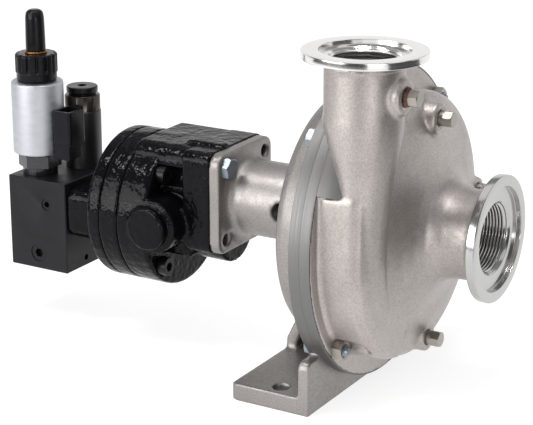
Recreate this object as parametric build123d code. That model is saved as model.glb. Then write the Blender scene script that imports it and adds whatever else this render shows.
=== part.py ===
from build123d import *
import math
import os

# Centrifugal pump with a hydraulic gear motor and a manifold, in millimetres.
# Everything is drawn in the shaft's frame: +X runs along the shaft towards the
# suction port, the origin lies on the shaft at the back of the bolting ring,
# and +Z is up. At export the whole assembly moves so that the origin lies
# midway between the two foot bolts, on the underside of the foot.

# Driving dimensions of the whole
shaft_height = 108.0
foot_bolt_setback = 18.0
running_gap = 0.05
part_gap = 0.3
hair_gap = 0.02

# Bolting ring between bracket and casing
ring_r = 104.0
bracket_ring_t = 7.6
casing_ring_t = 7.6
casing_bolt_count = 4
casing_bolt_circle_r = 96.0
casing_bolt_d = 8.0
casing_bolt_hex = 13.0
casing_bolt_head_t = 5.3
casing_nut_t = 6.5
bolt_hole_play = 0.4

# Volute casing
drum_r = 88.0
drum_front_x = 41.0
cheek_r = 93.5
cheek_front_x = 46.0
cheek_top_z = 40.0
cheek_sweep_deg = 35.0
cheek_tail_shift = 23.5
cheek_tail_deg = 42.0
wall_t = 5.3
short_bolt_deg = 135
suction_face_x = 95.6
suction_flange_r = 41.5
suction_rim_t = 5.4
suction_neck_r = 29.5
suction_recess_r = 33.9
suction_recess_depth = 3.5
suction_thread_r = 22.4
suction_bore_r = 19.5
suction_thread_depth = 26.0
discharge_x = 34.3
discharge_y = -72.0
discharge_top_z = 130.2
discharge_flange_r = 38.9
discharge_rim_t = 4.8
discharge_recess_r = 27.8
discharge_recess_depth = 3.0
discharge_thread_r = 20.6
discharge_thread_depth = 24.0
discharge_bore_r = 19.5
discharge_pipe_r = discharge_bore_r + wall_t
flange_cone_t = 3.6

# Motor bracket
dish_r = 86.0
dish_back_r = 81.4
dish_depth = 24.2
chamber_r = 80.0
back_wall_t = 6.0
tube_r = 26.0
motor_face_x = -100.8
motor_plate_t = 8.0
motor_plate_side = 70.0
motor_plate_corner_r = 8.0
motor_bolt_spacing = 50.8
motor_bolt_d = 8.0
motor_bolt_hex = 13.0
motor_bolt_head_t = 5.3
motor_bolt_length = 22.0
window_from_x = -58.0
window_to_x = -31.0
window_height = 14.0
foot_length = 182.0
foot_back_x = -50.0
foot_plate_t = 11.4
foot_leg_top_z = 36.0
foot_hole_d = 11.0
foot_hole_spacing = 160.0
gusset_flange_w = 38.0
gusset_flange_t = 8.0
gusset_web_t = 12.0
gusset_top_z = -38.0

# Rotating parts of the pump
impeller_r = 65.0
impeller_back_x = 12.0
impeller_shroud_t = 3.2
impeller_outlet_w = 12.0
impeller_eye_r = 19.0
impeller_ring_r = 23.0
impeller_hub_r = 13.0
impeller_hub_front_x = 31.0
vane_count = 5
vane_t = 3.2
shaft_bearing_r = 10.0
shaft_seal_r = 8.0
shaft_impeller_r = 6.5
shaft_thread_r = 5.0
shaft_back_x = -97.0
nut_hex = 16.0
nut_t = 8.0
key_side = 3.2
impeller_key_length = 12.0

# Ball bearing, 20 x 42 x 12
bearing_bore_r = shaft_bearing_r
bearing_outer_r = 21.0
bearing_w = 12.0
bearing_front_x = -68.0
ball_r = 3.2
ball_count = 9
snap_ring_t = 1.75

# Shaft seal
seat_outer_r = 15.0
seat_t = 7.0
seal_head_r = 14.0
seal_head_t = 9.0

# Port plugs
plug_thread_r = 4.9
plug_hex = 9.6
plug_hex_len = 6.0
plug_neck_len = 2.6
plug_depth = 8.0
vent_boss_r = 11.5
vent_boss_z = 104.0
vent_boss_face_x = 63.0
prime_boss_r = 10.3
prime_boss_y = 2.0
prime_boss_z = 73.0
prime_boss_face_x = 51.5
drain_boss_r = 9.6
drain_boss_y = 6.0
drain_boss_z = -79.0
drain_boss_face_x = 45.5
gauge_boss_r = 8.6
gauge_boss_y = 83.0
gauge_boss_z = 3.0
gauge_boss_face_x = 44.0

# Hydraulic gear motor
gear_module = 3.0
gear_teeth = 12
gear_tip_r = 20.6
gear_root_r = 14.8
gear_width = 9.0
gear_backlash = 0.35
journal_r = 8.0
output_shaft_r = 6.35
output_shaft_len = 30.0
motor_body_r = 53.5
front_housing_len = 64.0
front_block_len = 21.2
front_disc_t = 22.8
gear_section_len = 15.0
rear_cover_len = 11.2
motor_deck_top_z = 35.0
motor_lobe_r = 23.0
motor_lobe_z = -26.0
motor_screw_circle_r = 45.0
motor_screw_d = 8.0
port_boss_r = 15.0
port_boss_x = -139.0
port_boss_face_y = -57.0
pilot_r = 22.0
pilot_t = 3.5

# Manifold and valves
block_len = 50.0
block_width = 62.0
block_height = 67.3
block_top_z = -4.9
neck_len = 33.4
coil_x = -259.1
coil_y = -13.0
coil_r = 18.7
coil_bottom_z = 11.0
coil_height = 52.0
valve_hex = 27.0
valve_tube_r = 8.0
coil_nut_r = 15.0
coil_nut_height = 20.2
flute_count = 14
boot_r = 7.1
boot_height = 31.2
relief_x = -242.5
relief_y = 18.0
relief_body_r = 13.3
relief_top_z = 54.9


# Helpers

def rod_x(x0, x1, r, y=0.0, z=0.0):
    """Cylinder along X."""
    return Pos((x0 + x1) / 2, y, z) * Rot(0, 90, 0) * Cylinder(r, abs(x1 - x0))


def rod_y(y0, y1, r, x, z):
    """Cylinder along Y."""
    return Pos(x, (y0 + y1) / 2, z) * Rot(90, 0, 0) * Cylinder(r, abs(y1 - y0))


def rod_z(z0, z1, r, x, y):
    """Cylinder along Z."""
    return Pos(x, y, (z0 + z1) / 2) * Cylinder(r, abs(z1 - z0))


def block(x0, x1, y0, y1, z0, z1):
    """Box between two corners."""
    centre = Pos((x0 + x1) / 2, (y0 + y1) / 2, (z0 + z1) / 2)
    return centre * Box(abs(x1 - x0), abs(y1 - y0), abs(z1 - z0))


def turned(points, arc=360.0):
    """Solid of revolution about the shaft from (x, radius) points."""
    outline = Polyline([(x, 0, r) for x, r in points], close=True)
    return revolve(make_face(outline), Axis.X, arc)


def turned_z(points, x, y):
    """Solid of revolution about a vertical axis from (radius, z) points."""
    outline = Polyline([(r, 0, z) for r, z in points], close=True)
    return Pos(x, y, 0) * revolve(make_face(outline), Axis.Z, 360)


def hex_x(x0, x1, across_flats, y=0.0, z=0.0, turn=0.0):
    """Hexagonal prism along X."""
    radius = across_flats / math.sqrt(3)
    face = Plane.YZ.offset(min(x0, x1)) * Pos(y, z) * Rot(0, 0, turn) * RegularPolygon(radius, 6)
    return extrude(face, abs(x1 - x0))


def hex_z(z0, z1, across_flats, x, y, turn=0.0):
    """Hexagonal prism along Z."""
    radius = across_flats / math.sqrt(3)
    return extrude(Pos(x, y, z0) * Rot(0, 0, turn) * RegularPolygon(radius, 6), z1 - z0)


def on_circle(radius, degrees):
    """Y and Z of a point on a circle about the shaft, from +Y towards +Z."""
    angle = math.radians(degrees)
    return radius * math.cos(angle), radius * math.sin(angle)


casing_face_x = bracket_ring_t
ring_front_x = bracket_ring_t + casing_ring_t
casing_bolt_angles = [45 + 90 * n for n in range(casing_bolt_count) if 45 + 90 * n != short_bolt_deg]
short_bolt_tip_x = ring_front_x - 2.0
nut_pocket_r = casing_bolt_hex * 0.62 + 0.6
nut_pocket_len = casing_nut_t + 14.0


# Volute passage: centre radius, passage radius and centre X by angle about the
# shaft. The passage grows from the cutwater near the top round the far side and
# the bottom to the discharge on the near side.

scroll_stations = [
    (100, 71.0, 6.0, 24.0),
    (55, 71.5, 7.5, 24.0),
    (10, 71.5, 8.8, 24.0),
    (-35, 71.5, 10.0, 24.5),
    (-75, 71.0, 11.2, 25.5),
    (-110, 71.0, 12.0, 27.0),
    (-140, 71.5, 12.6, 29.0),
    (-165, 72.5, 13.0, 30.5),
]
limb_top_z = 92.0
riser_stations = [
    (-74.0, 8.0, 13.2, 31.5),
    (-73.5, 40.0, 13.8, 33.5),
    (-72.5, 66.0, 17.0, discharge_x),
    (discharge_y, limb_top_z, discharge_bore_r, discharge_x),
]


def scroll(grow, first):
    """Loft of round sections along the volute and up into the discharge."""
    sections = []
    for degrees, centre_r, passage_r, x in scroll_stations[first:]:
        y, z = on_circle(centre_r, degrees)
        angle = math.radians(degrees)
        flow = Vector(0, math.sin(angle), -math.cos(angle))
        plane = Plane(origin=(x, y, z), x_dir=(1, 0, 0), z_dir=flow)
        sections.append(plane * Circle(passage_r + grow))
    for y, z, passage_r, x in riser_stations:
        plane = Plane(origin=(x, y, z), x_dir=(1, 0, 0), z_dir=(0, 0, 1))
        sections.append(plane * Circle(passage_r + grow))
    return loft(sections)


def port_plug(face_x, y, z):
    """Hexagon-headed taper plug standing out of a boss in the +X direction."""
    head_x = face_x + plug_neck_len
    thread = rod_x(face_x - plug_depth, head_x + 1, plug_thread_r, y, z)
    head = hex_x(head_x, head_x + plug_hex_len, plug_hex, y, z, 12)
    return thread + head


def cheek_section(inward):
    """Section of the thick near wall, drawn above the shaft and moved inward."""
    outer = cheek_r - inward
    inner = 60 - inward
    return make_face(Polyline([
        (ring_front_x - 0.5, 0, inner), (ring_front_x - 0.5, 0, outer), (cheek_front_x - 9, 0, outer),
        (cheek_front_x - 3, 0, outer - 2.5), (cheek_front_x, 0, outer - 9), (cheek_front_x, 0, inner),
    ], close=True))


def volute_casing():
    """Cast casing with scroll, necks, port flanges and plug bosses."""
    body = turned([
        (casing_face_x, 0), (casing_face_x, ring_r), (ring_front_x, ring_r), (ring_front_x, drum_r),
        (drum_front_x - 8, drum_r), (drum_front_x - 4, drum_r - 1.2), (drum_front_x - 1, drum_r - 4),
        (drum_front_x + 1, drum_r - 8), (drum_front_x + 6, 64), (drum_front_x + 10, 50),
        (drum_front_x + 14, 41), (drum_front_x + 19, 34), (drum_front_x + 26, suction_neck_r + 1),
        (drum_front_x + 34, suction_neck_r), (suction_face_x - suction_rim_t - flange_cone_t, suction_neck_r),
        (suction_face_x - suction_rim_t, suction_flange_r - 3), (suction_face_x - suction_rim_t, suction_flange_r),
        (suction_face_x, suction_flange_r), (suction_face_x, 0),
    ])
    cheek = Rot(90, 0, 0) * revolve(cheek_section(0), Axis.X, cheek_sweep_deg)
    cheek = cheek + extrude(Rot(90, 0, 0) * cheek_section(0), cheek_top_z, dir=(0, 0, 1))
    tail_y, tail_z = on_circle(cheek_tail_shift, 180 + cheek_sweep_deg)
    tail = revolve(cheek_section(cheek_tail_shift), Axis.X, cheek_tail_deg)
    cheek = cheek + Pos(0, tail_y, tail_z) * Rot(90 + cheek_sweep_deg, 0, 0) * tail
    limb = scroll(wall_t, 4)
    limb = limb - block(-60, casing_face_x, -200, 200, -200, 200)
    flange_z = discharge_top_z - discharge_rim_t
    pipe = rod_z(limb_top_z, flange_z, discharge_pipe_r, discharge_x, discharge_y)
    flange = turned_z([
        (0, flange_z - flange_cone_t - 1), (discharge_pipe_r, flange_z - flange_cone_t - 1),
        (discharge_pipe_r, flange_z - flange_cone_t), (discharge_flange_r - 3, flange_z),
        (discharge_flange_r, flange_z), (discharge_flange_r, discharge_top_z), (0, discharge_top_z),
    ], discharge_x, discharge_y)
    casing = body + cheek + (limb + pipe + flange)
    for boss_r, y, z, face_x in plug_bosses:
        casing = casing + rod_x(28, face_x, boss_r, y, z)
    for degrees in casing_bolt_angles:
        y, z = on_circle(casing_bolt_circle_r, degrees)
        casing = casing - rod_x(ring_front_x, ring_front_x + nut_pocket_len, nut_pocket_r, y, z)
        casing = casing - rod_x(0, ring_front_x + 1, casing_bolt_d / 2 + bolt_hole_play / 2, y, z)
    y, z = on_circle(casing_bolt_circle_r, short_bolt_deg)
    casing = casing - rod_x(0, short_bolt_tip_x + 0.5, casing_bolt_d / 2 + running_gap, y, z)
    chamber = turned([
        (0, 0), (0, chamber_r), (casing_face_x + 9, chamber_r), (impeller_back_x + 16, impeller_r + 6),
        (impeller_back_x + 20, impeller_r + 2), (impeller_back_x + 29, 30), (impeller_back_x + 30.5, impeller_ring_r + 1.5),
        (impeller_back_x + 30.5, impeller_ring_r + running_gap * 4),
        (impeller_back_x + 35, impeller_ring_r + running_gap * 4), (impeller_back_x + 35, suction_bore_r),
        (suction_face_x - suction_thread_depth - 3, suction_bore_r),
        (suction_face_x - suction_thread_depth, suction_thread_r),
        (suction_face_x - suction_recess_depth, suction_thread_r),
        (suction_face_x - suction_recess_depth, suction_recess_r), (suction_face_x + 1, suction_recess_r),
        (suction_face_x + 1, 0),
    ])
    passage = scroll(0.0, 0) + turned_z([
        (0, limb_top_z), (discharge_bore_r, limb_top_z), (discharge_bore_r, discharge_top_z - discharge_thread_depth - 3),
        (discharge_thread_r, discharge_top_z - discharge_thread_depth),
        (discharge_thread_r, discharge_top_z - discharge_recess_depth),
        (discharge_recess_r, discharge_top_z - discharge_recess_depth),
        (discharge_recess_r, discharge_top_z + 1), (0, discharge_top_z + 1),
    ], discharge_x, discharge_y)
    casing = casing - chamber - passage
    for boss_r, y, z, face_x in plug_bosses:
        casing = casing - rod_x(face_x - plug_depth - 8.0, face_x + 1, plug_thread_r, y, z)
    return casing


plug_bosses = [
    (vent_boss_r, discharge_y, vent_boss_z, vent_boss_face_x),
    (prime_boss_r, prime_boss_y, prime_boss_z, prime_boss_face_x),
    (drain_boss_r, drain_boss_y, drain_boss_z, drain_boss_face_x),
    (gauge_boss_r, gauge_boss_y, gauge_boss_z, gauge_boss_face_x),
]


def motor_bracket():
    """Cast bracket: ring, seal dish, bearing tube, motor plate and foot."""
    plate_front = motor_face_x + motor_plate_t
    body = turned([
        (casing_face_x, 0), (casing_face_x, ring_r), (0, ring_r), (0, dish_r), (-dish_depth + 6, dish_back_r + 1),
        (-dish_depth + 1.5, dish_back_r - 1), (-dish_depth, dish_back_r - 5), (-dish_depth, tube_r + 8),
        (-dish_depth - 3, tube_r + 3), (-dish_depth - 8, tube_r), (plate_front + 6, tube_r),
        (plate_front + 2.5, tube_r + 2), (plate_front, tube_r + 6.5), (motor_face_x, tube_r + 6.5),
        (motor_face_x, 0),
    ])
    half = motor_plate_side / 2
    outline = Plane.YZ.offset(motor_face_x) * RectangleRounded(motor_plate_side, motor_plate_side,
                                                               motor_plate_corner_r)
    body = body + extrude(outline, motor_plate_t)
    half_foot = foot_length / 2
    ground = -shaft_height
    plate = block(foot_back_x, casing_face_x, -half_foot, half_foot, ground, ground + foot_plate_t)
    plate = fillet(plate.edges().filter_by(Axis.Z).group_by(Axis.X)[0], 4.0)
    leg = block(0, casing_face_x, -half_foot, half_foot, ground, ground + foot_leg_top_z)
    leg = fillet(leg.edges().filter_by(Axis.X).group_by(Axis.Z)[-1], 5.0)
    flange_side = [
        (foot_back_x, ground + 1), (foot_back_x, ground + foot_plate_t + 6),
        (-dish_depth - 1, gusset_top_z), (-dish_depth + 2, gusset_top_z), (-dish_depth + 2, ground + 1),
    ]
    web = extrude(make_face(Polyline([(x, -gusset_web_t / 2, z) for x, z in flange_side], close=True)),
                  gusset_web_t, dir=(0, 1, 0))
    brace_side = [
        (foot_back_x, ground + 1), (foot_back_x, ground + foot_plate_t + 6), (-dish_depth - 1, gusset_top_z),
        (-dish_depth + 2, gusset_top_z - 2), (foot_back_x + gusset_flange_t, ground + foot_plate_t + 2),
        (foot_back_x + gusset_flange_t, ground + 1),
    ]
    brace = extrude(make_face(Polyline([(x, -gusset_flange_w / 2, z) for x, z in brace_side], close=True)),
                    gusset_flange_w, dir=(0, 1, 0))
    under = block(-dish_depth, 1, -gusset_web_t / 2, gusset_web_t / 2, ground + 1, -dish_back_r + 4)
    body = body + plate + leg + web + brace + under
    chamber = turned([
        (casing_face_x + 1, 0), (casing_face_x + 1, chamber_r), (-dish_depth + back_wall_t + 6, chamber_r - 4),
        (-dish_depth + back_wall_t + 1, chamber_r - 7), (-dish_depth + back_wall_t, chamber_r - 12),
        (-dish_depth + back_wall_t, seat_outer_r + hair_gap), (-dish_depth + back_wall_t - seat_t, seat_outer_r + hair_gap),
        (-dish_depth + back_wall_t - seat_t, shaft_seal_r + 2), (-dish_depth - 6, shaft_seal_r + 2),
        (-dish_depth - 6, bearing_outer_r - 5), (bearing_front_x, bearing_outer_r - 5),
        (bearing_front_x, bearing_outer_r + hair_gap), (motor_face_x + pilot_t + 0.5, bearing_outer_r + hair_gap),
        (motor_face_x + pilot_t + 0.5, pilot_r + running_gap), (motor_face_x - 1, pilot_r + running_gap),
        (motor_face_x - 1, 0),
    ])
    groove_x = bearing_front_x - bearing_w
    groove = rod_x(groove_x - snap_ring_t - 0.1, groove_x, bearing_outer_r + 1.2)
    body = body - chamber - groove
    radius = window_height / 2 - 0.01
    slot = block(window_from_x + radius, window_to_x, -60, 60, -radius, radius)
    slot = slot + rod_y(-60, 60, radius, window_from_x + radius, 0)
    body = body - slot
    for sign_y in (-1, 1):
        for sign_z in (-1, 1):
            hole = rod_x(motor_face_x - 1, plate_front + 1, motor_bolt_d / 2 + bolt_hole_play / 2,
                         sign_y * motor_bolt_spacing / 2, sign_z * motor_bolt_spacing / 2)
            body = body - hole
            seat = rod_x(plate_front, plate_front + 7, motor_bolt_hex * 0.6,
                         sign_y * motor_bolt_spacing / 2, sign_z * motor_bolt_spacing / 2)
            body = body - seat
    for degrees in casing_bolt_angles + [short_bolt_deg]:
        y, z = on_circle(casing_bolt_circle_r, degrees)
        body = body - rod_x(-1, casing_face_x + 1, casing_bolt_d / 2 + bolt_hole_play / 2, y, z)
        body = body - rod_x(-12, 0, casing_bolt_hex * 0.6 + 0.4, y, z)
    for sign_y in (-1, 1):
        body = body - rod_z(ground - 1, ground + foot_plate_t + 1, foot_hole_d / 2, -foot_bolt_setback,
                            sign_y * foot_hole_spacing / 2)
    o_ring_seat = turned([(casing_face_x + 1, o_ring_r0), (casing_face_x + 1, o_ring_r1),
                          (casing_face_x - o_ring_depth, o_ring_r1), (casing_face_x - o_ring_depth, o_ring_r0)])
    return body - o_ring_seat


o_ring_r0 = chamber_r + 2.2
o_ring_r1 = o_ring_r0 + 3.6
o_ring_depth = 2.2


def casing_o_ring():
    """Rubber ring pressed in its groove between bracket and casing."""
    gap = hair_gap
    return turned([(casing_face_x - gap, o_ring_r0 + 0.3), (casing_face_x - gap, o_ring_r1 - 0.3),
                   (casing_face_x - 0.8, o_ring_r1 - gap), (casing_face_x - o_ring_depth + gap, o_ring_r1 - 0.6),
                   (casing_face_x - o_ring_depth + gap, o_ring_r0 + 0.6), (casing_face_x - 0.8, o_ring_r0 + gap)])


def casing_bolts():
    """Hexagon bolts with their heads behind the bracket ring."""
    solids = []
    for degrees in casing_bolt_angles:
        y, z = on_circle(casing_bolt_circle_r, degrees)
        shank = rod_x(-1, ring_front_x + casing_nut_t + 2.5, casing_bolt_d / 2, y, z)
        head = hex_x(-casing_bolt_head_t - hair_gap, -hair_gap, casing_bolt_hex, y, z, degrees)
        solids.append(head + shank)
    return solids


def casing_short_bolt():
    """Bolt behind the discharge pipe, which ends in a tapped hole of the casing."""
    y, z = on_circle(casing_bolt_circle_r, short_bolt_deg)
    head = hex_x(-casing_bolt_head_t - hair_gap, -hair_gap, casing_bolt_hex, y, z, short_bolt_deg)
    return head + rod_x(-1, short_bolt_tip_x, casing_bolt_d / 2, y, z)


def casing_nuts():
    """Hexagon nuts against the front of the casing ring."""
    solids = []
    for degrees in casing_bolt_angles:
        y, z = on_circle(casing_bolt_circle_r, degrees)
        seat = ring_front_x + hair_gap
        nut = hex_x(seat, seat + casing_nut_t, casing_bolt_hex, y, z, degrees)
        solids.append(nut - rod_x(0, 60, casing_bolt_d / 2 + hair_gap, y, z))
    return solids


def motor_bolts():
    """Two hexagon bolts that hold the motor on the bracket plate."""
    solids = []
    seat = motor_face_x + motor_plate_t + hair_gap
    for sign in (-1, 1):
        y = sign * motor_bolt_spacing / 2
        z = -sign * motor_bolt_spacing / 2
        head = hex_x(seat, seat + motor_bolt_head_t, motor_bolt_hex, y, z, 15)
        solids.append(head + rod_x(seat - motor_bolt_length, seat + 1, motor_bolt_d / 2, y, z))
    return solids


# Rotor of the pump

bearing_back_x = bearing_front_x - bearing_w
impeller_seat_x = impeller_back_x - 6.0
shaft_front_x = impeller_hub_front_x + nut_t + 2.0


def pump_shaft():
    """Shaft that sleeves over the motor shaft and carries the impeller."""
    shaft = turned([
        (shaft_back_x, 0), (shaft_back_x, shaft_bearing_r), (bearing_front_x, shaft_bearing_r),
        (bearing_front_x, shaft_bearing_r + 1.8), (bearing_front_x + 4, shaft_bearing_r + 1.8),
        (bearing_front_x + 4, shaft_bearing_r), (-dish_depth - 8, shaft_bearing_r),
        (-dish_depth - 8, shaft_seal_r), (impeller_seat_x, shaft_seal_r), (impeller_seat_x, shaft_impeller_r),
        (impeller_hub_front_x - 1, shaft_impeller_r), (impeller_hub_front_x - 1, shaft_thread_r),
        (shaft_front_x, shaft_thread_r), (shaft_front_x, 0),
    ])
    bore = rod_x(shaft_back_x - 1, motor_face_x + output_shaft_len + 2, output_shaft_r + hair_gap)
    keyway = block(shaft_back_x - 1, shaft_back_x + 24, -key_side / 2, key_side / 2, 0,
                   output_shaft_r + key_side / 2)
    seat = impeller_key_block(hair_gap)
    return shaft - bore - keyway - seat


def impeller_key_block(grow):
    """Parallel key between the shaft and the impeller hub."""
    x0 = impeller_back_x + 2
    half = key_side / 2
    return block(x0 - grow, x0 + impeller_key_length + grow, -half - grow, half + grow,
                 shaft_impeller_r - half - grow, shaft_impeller_r + half + grow)


def vane(turn):
    """One backward-curved blade as a curved strip extruded along the shaft."""
    inner_r = impeller_eye_r - 1.0
    points = []
    steps = 7
    for step in range(steps + 1):
        share = step / steps
        radius = inner_r + (impeller_r - 0.3 - inner_r) * share
        sweep = turn + 95 * share ** 0.9
        points.append(on_circle(radius, sweep))
    path = Plane.YZ * Spline([(y, z) for y, z in points])
    left = []
    right = []
    for step in range(steps + 1):
        y, z = points[step]
        ahead = points[min(step + 1, steps)]
        behind = points[max(step - 1, 0)]
        dy = ahead[0] - behind[0]
        dz = ahead[1] - behind[1]
        length = math.hypot(dy, dz)
        left.append((y - dz / length * vane_t / 2, z + dy / length * vane_t / 2))
        right.append((y + dz / length * vane_t / 2, z - dy / length * vane_t / 2))
    outline = Spline(left) + Line(left[-1], right[-1]) + Spline(right[::-1]) + Line(right[0], left[0])
    face = Plane.YZ * make_face(outline)
    return extrude(Pos(impeller_back_x, 0, 0) * face, 34)


def impeller():
    """Closed impeller: back shroud with hub, five vanes, front shroud with eye."""
    back = impeller_back_x
    outlet = back + impeller_shroud_t + impeller_outlet_w
    disc = turned([
        (impeller_seat_x + hair_gap, 0), (impeller_seat_x + hair_gap, impeller_hub_r), (back, impeller_hub_r + 2), (back, impeller_r),
        (back + impeller_shroud_t, impeller_r), (back + impeller_shroud_t + 1, 30),
        (back + impeller_shroud_t + 6, impeller_hub_r + 1), (impeller_hub_front_x - 2, impeller_hub_r),
        (impeller_hub_front_x, impeller_hub_r - 3), (impeller_hub_front_x, 0),
    ])
    front_inner = [(outlet, impeller_r), (outlet + 3.5, 42), (outlet + 7.5, 26), (outlet + 11, impeller_eye_r)]
    shroud = turned([
        (outlet, impeller_r), (outlet + 3.5, 42), (outlet + 7.5, 26), (outlet + 11, impeller_eye_r),
        (back + 34.5, impeller_eye_r), (back + 34.5, impeller_ring_r), (outlet + 12.5, impeller_ring_r),
        (outlet + 10.5, 28), (outlet + 6.5, 42), (outlet + 2.8, impeller_r),
    ])
    room = turned([(back + 1, 8), (back + 1, impeller_r - 0.01)] + front_inner + [(outlet + 11, 8)])
    blades = vane(0) & room
    for n in range(1, vane_count):
        blades = blades + (vane(360 * n / vane_count) & room)
    wheel = disc + shroud + blades
    wheel = wheel - rod_x(impeller_seat_x - 1, back + 60, shaft_impeller_r + hair_gap)
    return wheel - impeller_key_block(hair_gap)


def impeller_key():
    return impeller_key_block(0)


def impeller_nut():
    """Flanged cap nut seen down the suction port."""
    x0 = impeller_hub_front_x + hair_gap
    nut = hex_x(x0, x0 + nut_t, nut_hex) + rod_x(x0, x0 + 1.6, nut_hex * 0.62)
    cap = rod_x(x0 + nut_t - 0.5, shaft_front_x + 1.6, shaft_thread_r + 1.2)
    return nut + cap - rod_x(x0 - 1, shaft_front_x + hair_gap, shaft_thread_r + hair_gap)


seat_front_x = -dish_depth + back_wall_t + 1.0


def seal_seat():
    """Stationary ceramic ring pressed in the bracket."""
    x0 = -dish_depth + back_wall_t - seat_t + hair_gap
    return rod_x(x0, seat_front_x, seat_outer_r) - rod_x(x0 - 1, seat_front_x + 1, shaft_seal_r + 1.5)


def seal_head():
    """Rotating carbon face in its rubber bellows shell."""
    x0 = seat_front_x + hair_gap
    head = turned([(x0, shaft_seal_r + hair_gap), (x0, seal_head_r - 2), (x0 + 2.5, seal_head_r - 2),
                   (x0 + 2.5, seal_head_r), (x0 + seal_head_t, seal_head_r),
                   (x0 + seal_head_t, shaft_seal_r + hair_gap)])
    return head


def seal_spring():
    """Conical spring between the seal head and the impeller hub, as a sleeve of coils."""
    x0 = seat_front_x + seal_head_t + 2 * hair_gap
    x1 = impeller_seat_x - 0.1
    inner = shaft_seal_r + 1.2
    outer = inner + 1.6
    turns = 4
    pitch = (x1 - x0) / turns
    points = [(x0, inner)]
    for n in range(turns):
        points.append((x0 + pitch * n, outer))
        points.append((x0 + pitch * (n + 0.6), outer))
        points.append((x0 + pitch * (n + 0.6), inner + 0.6))
        points.append((x0 + pitch * (n + 1), inner + 0.6))
    points.append((x1, inner))
    return turned(points)


def bearing_outer_race():
    x0 = bearing_back_x
    x1 = bearing_front_x - hair_gap
    mid = (x0 + x1) / 2
    race = rod_x(x0, x1, bearing_outer_r) - rod_x(x0 - 1, x1 + 1, bearing_outer_r - 3.2)
    track = turned_ring(mid, ball_track_r, ball_r + 0.12)
    return race - track


ball_track_r = (bearing_bore_r + bearing_outer_r) / 2


def turned_ring(x, centre_r, wire_r):
    """Torus about the shaft."""
    face = Plane.XZ * Pos(x, centre_r) * Circle(wire_r)
    return revolve(face, Axis.X, 360)


def bearing_inner_race():
    x0 = bearing_back_x
    x1 = bearing_front_x - hair_gap
    mid = (x0 + x1) / 2
    race = rod_x(x0, x1, bearing_bore_r + 3.2) - rod_x(x0 - 1, x1 + 1, bearing_bore_r + hair_gap)
    return race - turned_ring(mid, ball_track_r, ball_r + 0.12)


def bearing_cage():
    """Balls held by a thin ribbon cage, one solid that turns as a set."""
    mid = (bearing_back_x + bearing_front_x - hair_gap) / 2
    ribbon = rod_x(mid - 1.6, mid + 1.6, ball_track_r + 0.9) - rod_x(mid - 4, mid + 4, ball_track_r - 0.9)
    cage = ribbon
    for n in range(ball_count):
        y, z = on_circle(ball_track_r, 360 * n / ball_count)
        cage = cage + Pos(mid, y, z) * Sphere(ball_r)
    return cage


def bearing_snap_ring():
    x1 = bearing_back_x - 0.05
    x0 = x1 - snap_ring_t
    ring = rod_x(x0, x1, bearing_outer_r + 1.1) - rod_x(x0 - 1, x1 + 1, bearing_outer_r - 2.4)
    return ring - block(x0 - 1, x1 + 1, -3, 3, -bearing_outer_r - 4, 0)


def shaft_slinger():
    """Rubber ring that throws leaked drops off in front of the window."""
    x0 = window_to_x - 12
    return turned([(x0, shaft_bearing_r + hair_gap), (x0, shaft_bearing_r + 2), (x0 + 2, shaft_bearing_r + 4.5),
                   (x0 + 3.5, shaft_bearing_r + 4.5), (x0 + 3.5, shaft_bearing_r + hair_gap)])


# Hydraulic gear motor

gear_distance = gear_module * gear_teeth
body_z = -gear_distance / 2
front_back_x = motor_face_x - front_housing_len
section_back_x = front_back_x - gear_section_len
cover_back_x = section_back_x - rear_cover_len
gear_front_x = front_back_x - (gear_section_len - gear_width) / 2
gear_back_x = gear_front_x - gear_width
block_front_x = cover_back_x - neck_len
motor_screws = [(motor_screw_circle_r * math.cos(math.radians(a)),
                 body_z + motor_screw_circle_r * math.sin(math.radians(a))) for a in (47, 133, 227, 313)]


def lobed(x0, x1, r):
    """Prism of two overlapping circles about both gear axes."""
    return rod_x(x0, x1, r, 0, 0) + rod_x(x0, x1, r, 0, -gear_distance)


def deck(x0, x1):
    """Flat top of the motor with a wide round towards the near side."""
    top = block(x0, x1, -motor_deck_near, motor_deck_far, 4, motor_deck_top_z)
    edges = top.edges().filter_by(Axis.X).group_by(Axis.Z)[-1].sort_by(Axis.Y)
    top = fillet(edges[0], 12.0)
    edges = top.edges().filter_by(Axis.X).group_by(Axis.Z)[-1].sort_by(Axis.Y)
    return fillet(edges[-1], 3.0)


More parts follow.
